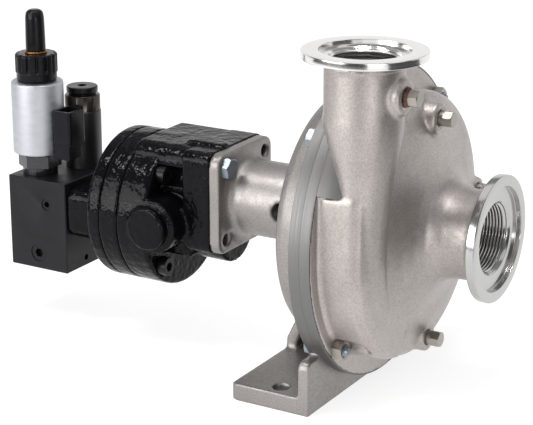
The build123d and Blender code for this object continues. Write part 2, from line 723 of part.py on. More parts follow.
def motor_front_housing():
    """Cast front housing with mounting face, pilot, side pockets and port boss."""
    half = motor_plate_side / 2 + 0.5
    block_back_x = motor_face_x - front_block_len
    face = Plane.YZ.offset(block_back_x) * RectangleRounded(2 * half, 2 * half, 7)
    body = extrude(face, front_block_len)
    core = block(front_back_x, block_back_x + 1, -half + 8, half - 7, -42, motor_deck_top_z - 4)
    lobe = rod_x(front_back_x, motor_face_x, motor_lobe_r, 0, motor_lobe_z)
    disc = rod_x(front_back_x, front_back_x + front_disc_t, motor_body_r, 0, body_z)
    disc = fillet(disc.edges().filter_by(GeomType.CIRCLE).group_by(Axis.X)[-1], 2.5)
    boss = rod_y(port_boss_face_y, -20, port_boss_r, port_boss_x, body_z + 1)
    boss = fillet(boss.edges().filter_by(GeomType.CIRCLE).group_by(Axis.Y)[0], 1.5)
    shoulder = rod_y(port_boss_face_y + 7, -20, port_boss_r + 3.5, port_boss_x + 1, body_z + 1)
    pad = rod_z(half - 1, half + 2.2, 15.5, motor_face_x - 14, -17)
    pad = pad & block(front_back_x, motor_face_x - 1, -16, 60, -200, 200)
    pilot = rod_x(motor_face_x - 1, motor_face_x + pilot_t, pilot_r)
    body = body + deck(front_back_x, block_back_x + 1) + core + lobe + disc + boss + shoulder + pad + pilot
    body = body - block(front_back_x - 40, front_back_x, -100, 100, -100, 100)
    bore = rod_x(motor_face_x - 14, motor_face_x + 40, seal_bore_r)
    bearing_bore = rod_x(front_back_x - 1, motor_face_x - 20, bush_r + hair_gap)
    shaft_hole = rod_x(motor_face_x - 30, motor_face_x + 40, journal_r + 0.5)
    idler_bore = rod_x(front_back_x - 1, front_back_x + 20, bush_r + hair_gap, 0, -gear_distance)
    body = body - bore - bearing_bore - shaft_hole - idler_bore
    for y, z in motor_screws:
        body = body - rod_x(front_back_x - 1, cap_screw_seat_x + 1, motor_screw_d / 2 + 0.25, y, z)
        body = body - rod_x(cap_screw_seat_x, block_back_x - 1, motor_screw_d * 0.85, y, z)
    for sign in (-1, 1):
        body = body - rod_x(motor_face_x - 16, motor_face_x + 1, motor_bolt_d / 2 + running_gap,
                            sign * motor_bolt_spacing / 2, -sign * motor_bolt_spacing / 2)
        body = body - rod_x(motor_face_x - 16, motor_face_x + 1, motor_bolt_d / 2 - 0.6,
                            sign * motor_bolt_spacing / 2, sign * motor_bolt_spacing / 2)
    return body


def motor_gear_section():
    """Middle section with the two gear pockets and the cross ports."""
    body = rod_x(section_back_x, front_back_x, motor_body_r, 0, body_z)
    pocket = lobed(section_back_x - 1, front_back_x + 1, gear_tip_r + 0.1)
    ports = rod_y(-40, 40, 4.5, (section_back_x + front_back_x) / 2, body_z)
    body = body - pocket - ports
    for y, z in motor_screws:
        body = body - rod_x(section_back_x - 1, front_back_x + 1, motor_screw_d / 2 + 0.25, y, z)
    return body


def motor_rear_cover():
    """Rear cover with the neck that carries the manifold."""
    body = rod_x(cover_back_x, section_back_x, motor_body_r, 0, body_z)
    body = fillet(body.edges().filter_by(GeomType.CIRCLE).group_by(Axis.X)[0], 4.0)
    neck_face = Plane.YZ.offset(block_front_x) * Pos(0, neck_port_z) * RectangleRounded(58, 36, 8)
    body = body + extrude(neck_face, neck_len + 10)
    body = body - rod_x(section_back_x - rear_bush_len - 1, section_back_x + 1, bush_r + hair_gap)
    body = body - rod_x(section_back_x - rear_bush_len - 1, section_back_x + 1, bush_r + hair_gap, 0, -gear_distance)
    for y, z in motor_screws:
        body = body - rod_x(section_back_x - motor_screw_grip - 1, section_back_x + 1, motor_screw_d / 2 + running_gap, y, z)
    for sign in (-1, 1):
        body = body - rod_x(block_front_x - 1, cover_back_x + 8, neck_port_r, sign * neck_port_y, neck_port_z)
    for y, z in manifold_screw_places:
        body = body - rod_x(block_front_x - 1, block_front_x + 14, manifold_screw_d / 2 + running_gap, y, z)
    return body


motor_deck_near = 31.0
motor_deck_far = 32.0
bush_r = journal_r + 4.0
front_bush_len = 17.0
rear_bush_len = 8.5
motor_screw_grip = 9.0
seal_bore_r = journal_r + 5.0
cap_screw_seat_x = front_back_x + front_disc_t - 2.5
manifold_screw_d = 6.0
manifold_screw_places = [(-23.5, -40.0), (23.5, -40.0), (4.0, -14.0)]
neck_port_y = 18.0
neck_port_z = -27.0
neck_port_r = 4.5
manifold_screw_sunk = 7.0


def gear_face():
    """Involute gear outline with relieved tips, in its own plane."""
    pitch_r = gear_module * gear_teeth / 2
    pressure = math.radians(20)
    base_r = pitch_r * math.cos(pressure)
    involute_at_pitch = math.tan(pressure) - pressure
    half_tooth = math.pi / (2 * gear_teeth) - gear_backlash / (2 * pitch_r)
    points = []
    for n in range(gear_teeth):
        centre = 2 * math.pi * n / gear_teeth
        flank = [(gear_root_r, half_tooth + involute_at_pitch + 0.02)]
        for step in range(4):
            radius = base_r + (gear_tip_r - base_r) * step / 3
            roll = math.acos(min(1.0, base_r / radius))
            flank.append((radius, half_tooth + involute_at_pitch - (math.tan(roll) - roll)))
        for radius, angle in flank:
            points.append((radius * math.cos(centre - angle), radius * math.sin(centre - angle)))
        for radius, angle in reversed(flank):
            points.append((radius * math.cos(centre + angle), radius * math.sin(centre + angle)))
    return make_face(Polyline(points, close=True))


def gear_solid(turn, z):
    face = Plane.YZ.offset(gear_back_x) * Pos(0, z) * Rot(0, 0, turn) * gear_face()
    return extrude(face, gear_width)


front_journal_len = 15.0
rear_journal_len = 11.0


def motor_drive_gear():
    """Drive gear in one piece with its journals and the output shaft."""
    gear = gear_solid(90, 0)
    gear = gear + rod_x(gear_back_x - rear_journal_len, gear_front_x + front_journal_len + 6, journal_r)
    tip_x = motor_face_x + output_shaft_len
    gear = gear + rod_x(gear_front_x + 10, tip_x, output_shaft_r)
    return gear - block(shaft_back_x + 2, shaft_back_x + 2 + key_len + 0.1, -key_side / 2 - hair_gap,
                        key_side / 2 + hair_gap, output_shaft_r - key_side / 2 - hair_gap, output_shaft_r + 1)


key_len = 20.0


def motor_shaft_key():
    return block(shaft_back_x + 2, shaft_back_x + 2 + key_len, -key_side / 2 + hair_gap,
                 key_side / 2 - hair_gap, output_shaft_r - key_side / 2, output_shaft_r + key_side / 2 - hair_gap)


def motor_idler_gear():
    """Idler gear, turned half a tooth so that it meshes at rest."""
    gear = gear_solid(90 + 180 / gear_teeth, -gear_distance)
    return gear + rod_x(gear_back_x - rear_journal_len, gear_front_x + front_journal_len, journal_r, 0, -gear_distance)


def motor_bushings(front):
    """Bronze journal bushes on both gear axes."""
    if front:
        x0, x1 = front_back_x + hair_gap, front_back_x + front_bush_len
    else:
        x0, x1 = section_back_x - rear_bush_len, section_back_x - hair_gap
    solids = []
    for z in (0, -gear_distance):
        bush = rod_x(x0, x1, bush_r, 0, z) - rod_x(x0 - 1, x1 + 1, journal_r + running_gap, 0, z)
        solids.append(bush)
    return solids


def motor_side_plates():
    """Figure-eight wear plates at both gear faces."""
    solids = []
    for x0, x1 in ((gear_front_x + hair_gap * 2, front_back_x - hair_gap),
                   (section_back_x + hair_gap, gear_back_x - hair_gap * 2)):
        plate = lobed(x0, x1, gear_tip_r - 0.1)
        plate = plate - rod_x(x0 - 1, x1 + 1, journal_r + running_gap * 2)
        plate = plate - rod_x(x0 - 1, x1 + 1, journal_r + running_gap * 2, 0, -gear_distance)
        solids.append(plate)
    return solids


def motor_shaft_seal():
    """Lip seal behind the mounting face."""
    x0 = motor_face_x - 12
    x1 = motor_face_x - 5
    return rod_x(x0, x1, seal_bore_r - hair_gap) - rod_x(x0 - 1, x1 + 1, output_shaft_r + running_gap)


def motor_cap_screws():
    """Four socket screws that clamp housing, gear section and cover."""
    solids = []
    head_seat = cap_screw_seat_x + hair_gap
    for y, z in motor_screws:
        head = rod_x(head_seat, head_seat + motor_screw_d, motor_screw_d * 0.8, y, z)
        head = head - hex_x(head_seat + 4, head_seat + motor_screw_d + 1, 6, y, z)
        solids.append(head + rod_x(section_back_x - motor_screw_grip, head_seat + 1, motor_screw_d / 2, y, z))
    return solids


# Manifold, valve and coil

block_back_x = block_front_x - block_len
block_bottom_z = block_top_z - block_height
half_block = block_width / 2
small_plug = (-241.2, -22.7, 4.3)
large_plug = (-249.8, -60.5, 6.6)


def manifold_block():
    """Machined manifold with cavities for both cartridges and side plugs."""
    body = block(block_back_x, block_front_x, -half_block, half_block, block_bottom_z, block_top_z)
    body = chamfer(body.edges(), 0.6)
    body = body - rod_z(block_top_z - 36, block_top_z + 1, valve_cavity_r + hair_gap, coil_x, coil_y)
    body = body - rod_z(block_top_z - 30, block_top_z + 1, 8 + hair_gap, relief_x, relief_y)
    for x, z, r in (small_plug, large_plug):
        body = body - rod_y(-half_block - 1, -half_block + 8, r, x, z)
    body = body - rod_x(coil_x, block_front_x + 1, neck_port_r, -neck_port_y, neck_port_z)
    body = body - rod_x(relief_x, block_front_x + 1, neck_port_r, neck_port_y, neck_port_z)
    for y, z in manifold_screw_places:
        body = body - rod_x(block_back_x - 1, block_front_x + 1, manifold_screw_d / 2 + 0.25, y, z)
        body = body - rod_x(block_back_x - 1, block_back_x + manifold_screw_sunk, manifold_screw_d * 0.86, y, z)
    return body - rod_x(block_front_x - 6, block_front_x + 1, 2.2, -7.7, -66.0)


def manifold_screws():
    """Socket screws through the block into the motor neck."""
    solids = []
    head_seat = block_back_x + manifold_screw_sunk - hair_gap
    for y, z in manifold_screw_places:
        head = rod_x(head_seat - manifold_screw_d, head_seat, manifold_screw_d * 0.8, y, z)
        head = head - hex_x(head_seat - manifold_screw_d - 1, head_seat - 3, 5, y, z)
        solids.append(head + rod_x(head_seat - 1, block_front_x + 13, manifold_screw_d / 2, y, z))
    return solids


def socket_plug(x, z, r, key):
    """Flush plug with a hexagon socket in the near face of the block."""
    plug = rod_y(-half_block + 0.6, -half_block + 8 - hair_gap, r - hair_gap, x, z)
    socket = Plane.XZ.offset(half_block - 0.6) * Pos(x, z) * RegularPolygon(key / math.sqrt(3), 6)
    return plug - extrude(socket, -4)


def manifold_plugs():
    return [socket_plug(small_plug[0], small_plug[1], small_plug[2], 4.0),
            socket_plug(large_plug[0], large_plug[1], large_plug[2], 6.0)]


valve_hex_top_z = coil_bottom_z - 1.0
valve_hex_bottom_z = 0.5
valve_collar_r = 12.6
tube_top_z = coil_bottom_z + coil_height + 9.0
valve_cavity_r = valve_tube_r + 2.0
spool_r = 3.0
spool_bottom_z = block_top_z - 31.6
armature_r = 6.0
armature_bottom_z = block_top_z - 1.0
armature_top_z = 30.0
spool_spring_z = block_top_z - 14.0
pin_r = 2.5
pin_top_z = tube_top_z + 15.0


def valve_body():
    """Cartridge valve: nose, hexagon and the tube that the coil slides on."""
    body = turned_z([
        (0, block_top_z - 35), (valve_tube_r - 1, block_top_z - 35), (valve_cavity_r - 0.6, block_top_z - 22),
        (valve_cavity_r, block_top_z - 20), (valve_cavity_r, block_top_z + hair_gap),
        (valve_collar_r, block_top_z + hair_gap), (valve_collar_r, valve_hex_bottom_z + 0.5),
        (0, valve_hex_bottom_z + 0.5),
    ], coil_x, coil_y)
    body = body + hex_z(valve_hex_bottom_z, valve_hex_top_z, valve_hex, coil_x, coil_y, 30)
    body = body + rod_z(valve_hex_top_z - 1, tube_top_z, valve_tube_r, coil_x, coil_y)
    body = body - rod_z(block_top_z - 36, spool_spring_z, spool_r + running_gap, coil_x, coil_y)
    body = body - rod_z(spool_spring_z, armature_top_z + 4, armature_r + running_gap, coil_x, coil_y)
    return body - rod_z(armature_top_z + 3, tube_top_z + 1, pin_r + running_gap, coil_x, coil_y)


def valve_spool():
    """Spool and armature in one, free to slide in the cartridge."""
    spool = rod_z(spool_bottom_z, block_top_z, spool_r, coil_x, coil_y)
    land = rod_z(spool_bottom_z + 5, spool_bottom_z + 11, spool_r + 2, coil_x, coil_y)
    spool = spool - (land - rod_z(spool_bottom_z + 4, spool_bottom_z + 12, spool_r - 1, coil_x, coil_y))
    return spool + rod_z(armature_bottom_z, armature_top_z, armature_r, coil_x, coil_y)


def coil_spring(z0, z1, mean_r, wire_r, turns, x, y):
    """Stack of joined wire rings standing for a compression spring."""
    pitch = (z1 - z0 - 2 * wire_r) / turns
    points = []
    sleeve_r = mean_r - wire_r
    points.append((sleeve_r, z0))
    for n in range(turns + 1):
        base = z0 + pitch * n
        points.append((mean_r + wire_r, base))
        points.append((mean_r + wire_r, base + 2 * wire_r))
        if n < turns:
            points.append((sleeve_r + 0.5, base + 2 * wire_r))
            points.append((sleeve_r + 0.5, base + pitch))
    points.append((sleeve_r, z1))
    return turned_z(points, x, y)


def spool_spring():
    """Return spring under the armature."""
    mean_r = (armature_r + spool_r) / 2
    return coil_spring(spool_spring_z + hair_gap, armature_bottom_z - hair_gap, mean_r, 0.6, 6, coil_x, coil_y)


def override_pin():
    """Manual override pin that rests on the armature, under the boot."""
    return rod_z(armature_top_z + hair_gap, pin_top_z, pin_r, coil_x, coil_y)


def solenoid_coil():
    """Steel-cased coil, open through its middle."""
    top = coil_bottom_z + coil_height
    coil = rod_z(coil_bottom_z, top, coil_r, coil_x, coil_y)
    coil = fillet(coil.edges().filter_by(GeomType.CIRCLE), 1.2)
    return coil - rod_z(coil_bottom_z - 1, top + 1, valve_tube_r + 0.1, coil_x, coil_y)


connector_x0 = coil_x + coil_r - 1.5
connector_x1 = connector_x0 + 17.5
connector_top_z = 45.0
connector_bottom_z = 9.0


def coil_connector():
    """Moulded plug body beside the coil, open at the top."""
    y0 = coil_y - 9.5
    y1 = coil_y + 9.5
    body = block(connector_x0 + 2, connector_x1, y0, y1, connector_bottom_z + 12, connector_top_z)
    body = fillet(body.edges().filter_by(Axis.Z), 2.5)
    root = block(connector_x0 - 3, connector_x1 - 3, y0 + 2.5, y1 - 2.5, connector_bottom_z, connector_top_z - 12)
    body = body + root
    mouth = block(connector_x0 + 4.5, connector_x1 - 2.5, y0 + 2.5, y1 - 2.5, connector_top_z - 17,
                  connector_top_z + 1)
    body = body - mouth
    return body - rod_z(-50, 120, coil_r + hair_gap, coil_x, coil_y)


def connector_pins():
    x = (connector_x0 + 4.5 + connector_x1 - 2.5) / 2
    solids = []
    for sign in (-1, 1):
        solids.append(rod_z(connector_top_z - 17 + hair_gap, connector_top_z - 9, 1.0, x, coil_y + sign * 3.6))
    return solids


def coil_nut():
    """Fluted nut that clamps the coil."""
    z0 = coil_bottom_z + coil_height + hair_gap
    nut = turned_z([
        (0, z0), (coil_nut_r - 1.5, z0), (coil_nut_r - 0.6, z0 + 2), (coil_nut_r - 0.6, z0 + 6),
        (coil_nut_r, z0 + 7), (coil_nut_r, z0 + coil_nut_height - 1.5),
        (coil_nut_r - 1.5, z0 + coil_nut_height), (0, z0 + coil_nut_height),
    ], coil_x, coil_y)
    for n in range(flute_count):
        angle = 2 * math.pi * n / flute_count
        x = coil_x + (coil_nut_r + 1.1) * math.cos(angle)
        y = coil_y + (coil_nut_r + 1.1) * math.sin(angle)
        nut = nut - rod_z(z0 + 7.5, z0 + coil_nut_height + 1, 2.0, x, y)
    nut = nut - rod_z(z0 - 1, tube_top_z + hair_gap, valve_tube_r + hair_gap, coil_x, coil_y)
    return nut - rod_z(z0, z0 + coil_nut_height + 1, pin_r + 1.0, coil_x, coil_y)


def boot_ring():
    """Brass ring that holds the boot on the nut."""
    z0 = coil_bottom_z + coil_height + coil_nut_height + 2 * hair_gap
    return rod_z(z0, z0 + 1.6, boot_r + 0.7, coil_x, coil_y) - rod_z(z0 - 1, z0 + 3, pin_r + 1.0, coil_x, coil_y)


def override_boot():
    """Rubber cap over the override pin."""
    z0 = coil_bottom_z + coil_height + coil_nut_height + 2 * hair_gap + 1.6 + hair_gap
    top = z0 + boot_height - 1.6
    outer = turned_z([
        (0, z0), (boot_r, z0), (boot_r, z0 + 8), (boot_r - 0.4, z0 + 16), (boot_r - 0.4, top - 6),
        (boot_r - 1.0, top - 3), (boot_r - 3.0, top - 0.8), (boot_r - 5.0, top), (0, top),
    ], coil_x, coil_y)
    return outer - rod_z(z0 - 1, top - 8, pin_r + 1.2, coil_x, coil_y)


relief_groove_z = relief_top_z - 6.0
poppet_seat_z = block_top_z - 20.0
poppet_r = 6.5
poppet_length = 18.0


def relief_valve_body():
    """Second cartridge: tall round body with a groove under its cap."""
    seat_z = block_top_z + hair_gap
    body = turned_z([
        (0, block_top_z - 28), (7, block_top_z - 28), (8, block_top_z - 26), (8, seat_z), (relief_body_r, seat_z),
        (relief_body_r, 37), (12.9, 37.4), (12.9, relief_groove_z - 1), (12.2, relief_groove_z), (0, relief_groove_z),
    ], relief_x, relief_y)
    body = body - rod_z(block_top_z - 40, block_top_z - 19, 3.5, relief_x, relief_y)
    return body - rod_z(poppet_seat_z, relief_groove_z + 1, poppet_r + running_gap, relief_x, relief_y)


def relief_cap():
    """Screw cap with a hexagon socket."""
    z0 = relief_groove_z + hair_gap
    cap = turned_z([
        (0, z0), (10, z0), (10, z0 + 1.4), (11.4, z0 + 1.8), (11.4, relief_top_z - 0.6), (10.8, relief_top_z),
        (0, relief_top_z),
    ], relief_x, relief_y)
    return cap - hex_z(relief_top_z - 4, relief_top_z + 1, 6.0, relief_x, relief_y)


def relief_poppet():
    """Sliding poppet on its seat."""
    z0 = poppet_seat_z + hair_gap
    return turned_z([(0, z0), (4.5, z0), (poppet_r, z0 + 3), (poppet_r, z0 + poppet_length),
                     (0, z0 + poppet_length)], relief_x, relief_y)


def relief_spring():
    z0 = poppet_seat_z + poppet_length + 2 * hair_gap
    return coil_spring(z0, relief_groove_z - hair_gap, 4.6, 0.8, 9, relief_x, relief_y)


# Export

parts = {
    "volute_casing": volute_casing,
    "motor_bracket": motor_bracket,
    "casing_o_ring": casing_o_ring,
    "casing_bolts": casing_bolts,
    "casing_short_bolt": casing_short_bolt,
    "casing_nuts": casing_nuts,
    "motor_bolts": motor_bolts,
    "pump_shaft": pump_shaft,
    "impeller": impeller,
    "impeller_key": impeller_key,
    "impeller_nut": impeller_nut,
    "seal_seat": seal_seat,
    "seal_head": seal_head,
    "seal_spring": seal_spring,
    "bearing_outer_race": bearing_outer_race,
    "bearing_inner_race": bearing_inner_race,
    "bearing_cage": bearing_cage,
    "bearing_snap_ring": bearing_snap_ring,
    "shaft_slinger": shaft_slinger,
    "vent_plug": lambda: port_plug(vent_boss_face_x, discharge_y, vent_boss_z),
    "prime_plug": lambda: port_plug(prime_boss_face_x, prime_boss_y, prime_boss_z),
    "drain_plug": lambda: port_plug(drain_boss_face_x, drain_boss_y, drain_boss_z),
    "gauge_plug": lambda: port_plug(gauge_boss_face_x, gauge_boss_y, gauge_boss_z),
    "motor_front_housing": motor_front_housing,
    "motor_gear_section": motor_gear_section,
    "motor_rear_cover": motor_rear_cover,
    "motor_drive_gear": motor_drive_gear,
    "motor_shaft_key": motor_shaft_key,
    "motor_idler_gear": motor_idler_gear,
    "motor_front_bushings": lambda: motor_bushings(True),
    "motor_rear_bushings": lambda: motor_bushings(False),
    "motor_side_plates": motor_side_plates,
    "motor_shaft_seal": motor_shaft_seal,
    "motor_cap_screws": motor_cap_screws,
    "manifold_block": manifold_block,
    "manifold_screws": manifold_screws,
    "manifold_plugs": manifold_plugs,
    "valve_body": valve_body,
    "valve_spool": valve_spool,
    "spool_spring": spool_spring,
    "override_pin": override_pin,
    "solenoid_coil": solenoid_coil,
    "coil_connector": coil_connector,
    "connector_pins": connector_pins,
    "coil_nut": coil_nut,
    "boot_ring": boot_ring,
    "override_boot": override_boot,
    "relief_valve_body": relief_valve_body,
    "relief_cap": relief_cap,
    "relief_poppet": relief_poppet,
    "relief_spring": relief_spring,
}

os.makedirs("parts", exist_ok=True)
home = Pos(foot_bolt_setback, 0, shaft_height)
for name, make in parts.items():
    shape = make()
    if isinstance(shape, list):
        shape = Compound([home * solid for solid in shape])
    else:
        shape = home * shape
    export_step(shape, f"parts/{name}.step")
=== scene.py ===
# %% [markdown]
# A close-coupled centrifugal pump: a cast stainless casing with two clamp flanges,
# a footed bracket, a black gear motor, and a valve block with its coil behind it.
# The CAD model is the frame that everything sits on, so each piece below takes its
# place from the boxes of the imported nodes, and only surfaces and finishes are made
# here.

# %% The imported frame
import math
import bmesh
import bpy
import numpy as np
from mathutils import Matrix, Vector


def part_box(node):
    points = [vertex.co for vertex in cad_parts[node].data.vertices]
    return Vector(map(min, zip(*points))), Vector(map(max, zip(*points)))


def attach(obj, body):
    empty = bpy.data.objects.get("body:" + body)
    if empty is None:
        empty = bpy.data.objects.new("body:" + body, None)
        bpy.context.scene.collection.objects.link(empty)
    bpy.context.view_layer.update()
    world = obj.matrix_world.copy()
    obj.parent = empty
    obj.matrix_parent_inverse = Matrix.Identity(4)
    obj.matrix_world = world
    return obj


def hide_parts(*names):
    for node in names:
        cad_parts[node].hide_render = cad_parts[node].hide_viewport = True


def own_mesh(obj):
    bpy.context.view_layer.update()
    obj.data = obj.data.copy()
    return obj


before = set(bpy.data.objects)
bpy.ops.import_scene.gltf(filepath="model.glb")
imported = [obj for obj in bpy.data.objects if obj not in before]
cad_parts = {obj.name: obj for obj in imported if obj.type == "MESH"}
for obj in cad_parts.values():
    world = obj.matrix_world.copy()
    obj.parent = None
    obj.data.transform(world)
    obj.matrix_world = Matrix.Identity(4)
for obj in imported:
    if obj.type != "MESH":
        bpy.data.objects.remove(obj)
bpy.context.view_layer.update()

# %% [markdown]
# Drawings of a pump give sizes in millimetres from the shaft's axis and from the
# back of the bolting ring, so the pieces are worked out in that frame too. One
# function then shifts and scales them into Blender's metres. The other way would be
# to write metres from the floor, but then no number could be read off a drawing.

# %% From the shaft's millimetres to the frame's metres
mm = 0.001
ring_joint_x = 7.6
shaft_low, shaft_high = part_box("pump_shaft")
bracket_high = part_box("motor_bracket")[1]
shaft_origin = np.array([bracket_high.x - ring_joint_x * mm, 0.0, (shaft_low.z + shaft_high.z) / 2])


def to_frame(points):
    """Millimetres from the shaft to metres in the frame: scale by 0.001, then shift by the origin."""
    return shaft_origin + np.asarray(points, float) * mm


def from_frame(points):
    """Metres in the frame back to millimetres from the shaft: shift back, then divide by 0.001."""
    return (np.asarray(points, float) - shaft_origin) / mm


def node_box(node):
    """Lowest and highest corner of a CAD node in millimetres from the shaft."""
    low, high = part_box(node)
    return from_frame(low), from_frame(high)


print("shaft origin", np.round(shaft_origin, 4))

# %% [markdown]
# Almost every machined piece here is turned on a lathe, so it is one outline carried
# round an axis. A hexagon head is the same surface with its radius held back by six
# flats, and a thread is the same surface with a wave on its radius. That is why one
# grid of (outline point, angle) serves for flanges, bolts, coil, nut and boot.

# %% Outlines and turned grids
AXES = {
    "x": np.array([(1, 0, 0), (0, 1, 0), (0, 0, 1)], float),
    "y": np.array([(0, 1, 0), (0, 0, 1), (1, 0, 0)], float),
    "z": np.array([(0, 0, 1), (1, 0, 0), (0, 1, 0)], float),
}


def rounded(corners, reach, steps=4):
    """Closed outline with rounded corners.

    Each corner becomes the curve (1-t)^2 start + 2t(1-t) corner + t^2 end, where start
    and end lie `reach` away along its two edges, or 0.45 of the edge if that is less.
    """
    corners = np.asarray(corners, float)
    back = np.roll(corners, 1, axis=0) - corners
    ahead = np.roll(corners, -1, axis=0) - corners
    back_len = np.linalg.norm(back, axis=1)
    ahead_len = np.linalg.norm(ahead, axis=1)
    wanted = np.broadcast_to(np.asarray(reach, float), back_len.shape)
    held = np.minimum(wanted, 0.45 * np.minimum(back_len, ahead_len))
    start = corners + back / back_len[:, None] * held[:, None]
    end = corners + ahead / ahead_len[:, None] * held[:, None]
    t = np.linspace(0, 1, steps + 1)[None, :, None]
    curve = (1 - t) ** 2 * start[:, None] + 2 * t * (1 - t) * corners[:, None] + t ** 2 * end[:, None]
    return curve.reshape(-1, 2)


def rounded_open(corners, reach, steps=4):
    """Outline from the axis to the axis: its first and last corners stay as they are."""
    corners = np.asarray(corners, float)
    curve = rounded(corners, reach, steps).reshape(len(corners), -1, 2)
    return np.vstack([corners[:1], curve[1:-1].reshape(-1, 2), corners[-1:]])


def angles(around):
    """Angles of one full turn, the last one left out because the grid closes there."""
    return np.linspace(0, 2 * math.pi, around, endpoint=False)


def turned_grid(along, radius, axis, centre, around):
    """Turned surface: centre + along * axis + radius * (cos t * side + sin t * up)."""
    axle, side, up = AXES[axis]
    t = angles(around)
    along = np.asarray(along, float)[:, None, None]
    radius = np.asarray(radius, float)
    radius = np.broadcast_to(radius.reshape(len(radius), -1), (len(radius), around))[:, :, None]
    ring = np.cos(t)[None, :, None] * side + np.sin(t)[None, :, None] * up
    return np.asarray(centre, float) + along * axle + radius * ring


def lathe(outline, axis, centre, around=128):
    """Turned surface from an outline of (along, radius) points."""
    return turned_grid(outline[:, 0], outline[:, 1], axis, centre, around)


def hexagon(across_flats, around, turn):
    """Radius of a hexagon: half its width over flats, divided by the cosine of the angle off the flat."""
    t = (angles(around) - math.radians(turn) + math.pi / 6) % (math.pi / 3) - math.pi / 6
    return across_flats / 2 / np.cos(t)


def hexagon_grid(outline, across_flats, axis, centre, turn=0.0, around=120):
    """Turned outline held back by six flats: the radius is the smaller of the two at each angle."""
    flats = hexagon(across_flats, around, turn)
    radius = np.minimum(outline[:, 1][:, None], flats[None, :])
    return turned_grid(outline[:, 0], radius, axis, centre, around)


def helix_grid(start, end, root, height, pitch, axis, centre, around, fades=(1.5, 1.5), steps=8):
    """Thread whose rows follow the helix, so that its crests are true lines.

    along = row + pitch * angle / turn, held between start and end; radius = root plus
    height times a triangle wave of row / pitch with its tips cut flat, faded at both ends.
    """
    axle, side, up = AXES[axis]
    t = np.linspace(0, 2 * math.pi, around + 1)[None, :]
    count = int(round((end - start) / pitch * steps)) + steps + 1
    rows = (start - pitch + np.arange(count + 1) * pitch / steps)[:, None]
    along = np.clip(rows + pitch * t / (2 * math.pi), start, end)
    wave = np.clip(np.abs((rows / pitch % 1.0) * 2 - 1) * 1.4 - 0.2, 0, 1)
    fade = np.clip((along - start) / fades[0], 0, 1) * np.clip((end - along) / fades[1], 0, 1)
    radius = (root + height * wave * fade)[:, :, None]
    ring = np.cos(t)[:, :, None] * side + np.sin(t)[:, :, None] * up
    return np.asarray(centre, float) + along[:, :, None] * axle + radius * ring


print("hexagon of 13 mm is", round(float(hexagon(13, 120, 0).max() * 2), 2), "mm over its corners")

# %% [markdown]
# A grid becomes a mesh when each cell gets a face. Rows close only where the outline
# is a loop. Points that meet on the axis are merged, normals are turned outward, and
# edges sharper than a set angle keep a crisp shade, as a machined edge does.

# %% From grids to pieces
def cell_faces(rows, columns, closed, first):
    """Index of the four corners of every cell.

    A loop or sector closes its rows, and a helix or sector leaves its columns open.
    """
    i = np.arange(rows if closed in (True, "sector") else rows - 1)[:, None]
    j = np.arange(columns - 1 if closed in ("helix", "sector") else columns)[None, :]
    i_next = (i + 1) % rows
    j_next = (j + 1) % columns
    corners = np.broadcast_arrays(i * columns + j, i * columns + j_next,
                                  i_next * columns + j_next, i_next * columns + j)
    return np.stack(corners, axis=-1).reshape(-1, 4) + first


def clean_mesh(mesh, sharp_degrees):
    """Merges points that meet, turns normals outward and marks the sharp edges."""
    work = bmesh.new()
    work.from_mesh(mesh)
    bmesh.ops.remove_doubles(work, verts=work.verts, dist=2e-6)
    bmesh.ops.dissolve_degenerate(work, edges=work.edges, dist=1e-6)
    bmesh.ops.recalc_face_normals(work, faces=work.faces)
    work.to_mesh(mesh)
    work.free()
    mesh.shade_smooth()
    mesh.set_sharp_from_angle(angle=math.radians(sharp_degrees))


def fit(piece, body, finish, nodes=()):
    """Gives a piece its finish and lets it ride on a body in place of CAD nodes."""
    if piece.name not in bpy.context.scene.objects:
        bpy.context.scene.collection.objects.link(piece)
    piece.data.materials.clear()
    piece.data.materials.append(finish)
    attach(piece, body)
    if nodes:
        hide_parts(*nodes)
    return piece


def skin(name, grids, sharp_degrees=32):
    """One object from grids in millimetres, each with True (a loop), False (open), "helix" or "sector"."""
    points = np.vstack([grid.reshape(-1, 3) for grid, _ in grids])
    sizes = [grid.shape[0] * grid.shape[1] for grid, _ in grids]
    starts = np.concatenate([[0], np.cumsum(sizes)[:-1]])
    faces = np.vstack([cell_faces(grid.shape[0], grid.shape[1], closed, first)
                       for (grid, closed), first in zip(grids, starts)])
    mesh = bpy.data.meshes.new(name)
    mesh.from_pydata(to_frame(points).tolist(), [], faces.tolist())
    clean_mesh(mesh, sharp_degrees)
    return bpy.data.objects.new(name, mesh)


# %% [markdown]
# Finishes come next. Each is a node material on Object coordinates, which here are
# metres in the frame, so a noise of scale 1000 has grains of about a millimetre. The
# helper makes the shader and its coordinates. The finish functions add colour
# variation, roughness and bump, because a real surface never has one flat value.

# %% A small kit for node materials
def start_finish(name, color, metallic, roughness):
    """Material with a Principled shader, its node tree and its Object coordinates."""
    material = bpy.data.materials.new(name)
    material.use_nodes = True
    tree = material.node_tree
    shader = tree.nodes["Principled BSDF"]
    shader.inputs["Base Color"].default_value = (*color, 1)
    shader.inputs["Metallic"].default_value = metallic
    shader.inputs["Roughness"].default_value = roughness
    coordinates = tree.nodes.new("ShaderNodeTexCoord").outputs["Object"]
    return material, tree, shader, coordinates


def noise(tree, coordinates, scale, detail=2.0, stretch=(1, 1, 1)):
    """Noise value from 0 to 1 at a scale in waves per metre."""
    mapping = tree.nodes.new("ShaderNodeMapping")
    mapping.inputs["Scale"].default_value = stretch
    texture = tree.nodes.new("ShaderNodeTexNoise")
    texture.inputs["Scale"].default_value = scale
    texture.inputs["Detail"].default_value = detail
    tree.links.new(coordinates, mapping.inputs["Vector"])
    tree.links.new(mapping.outputs["Vector"], texture.inputs["Vector"])
    return texture.outputs[0]


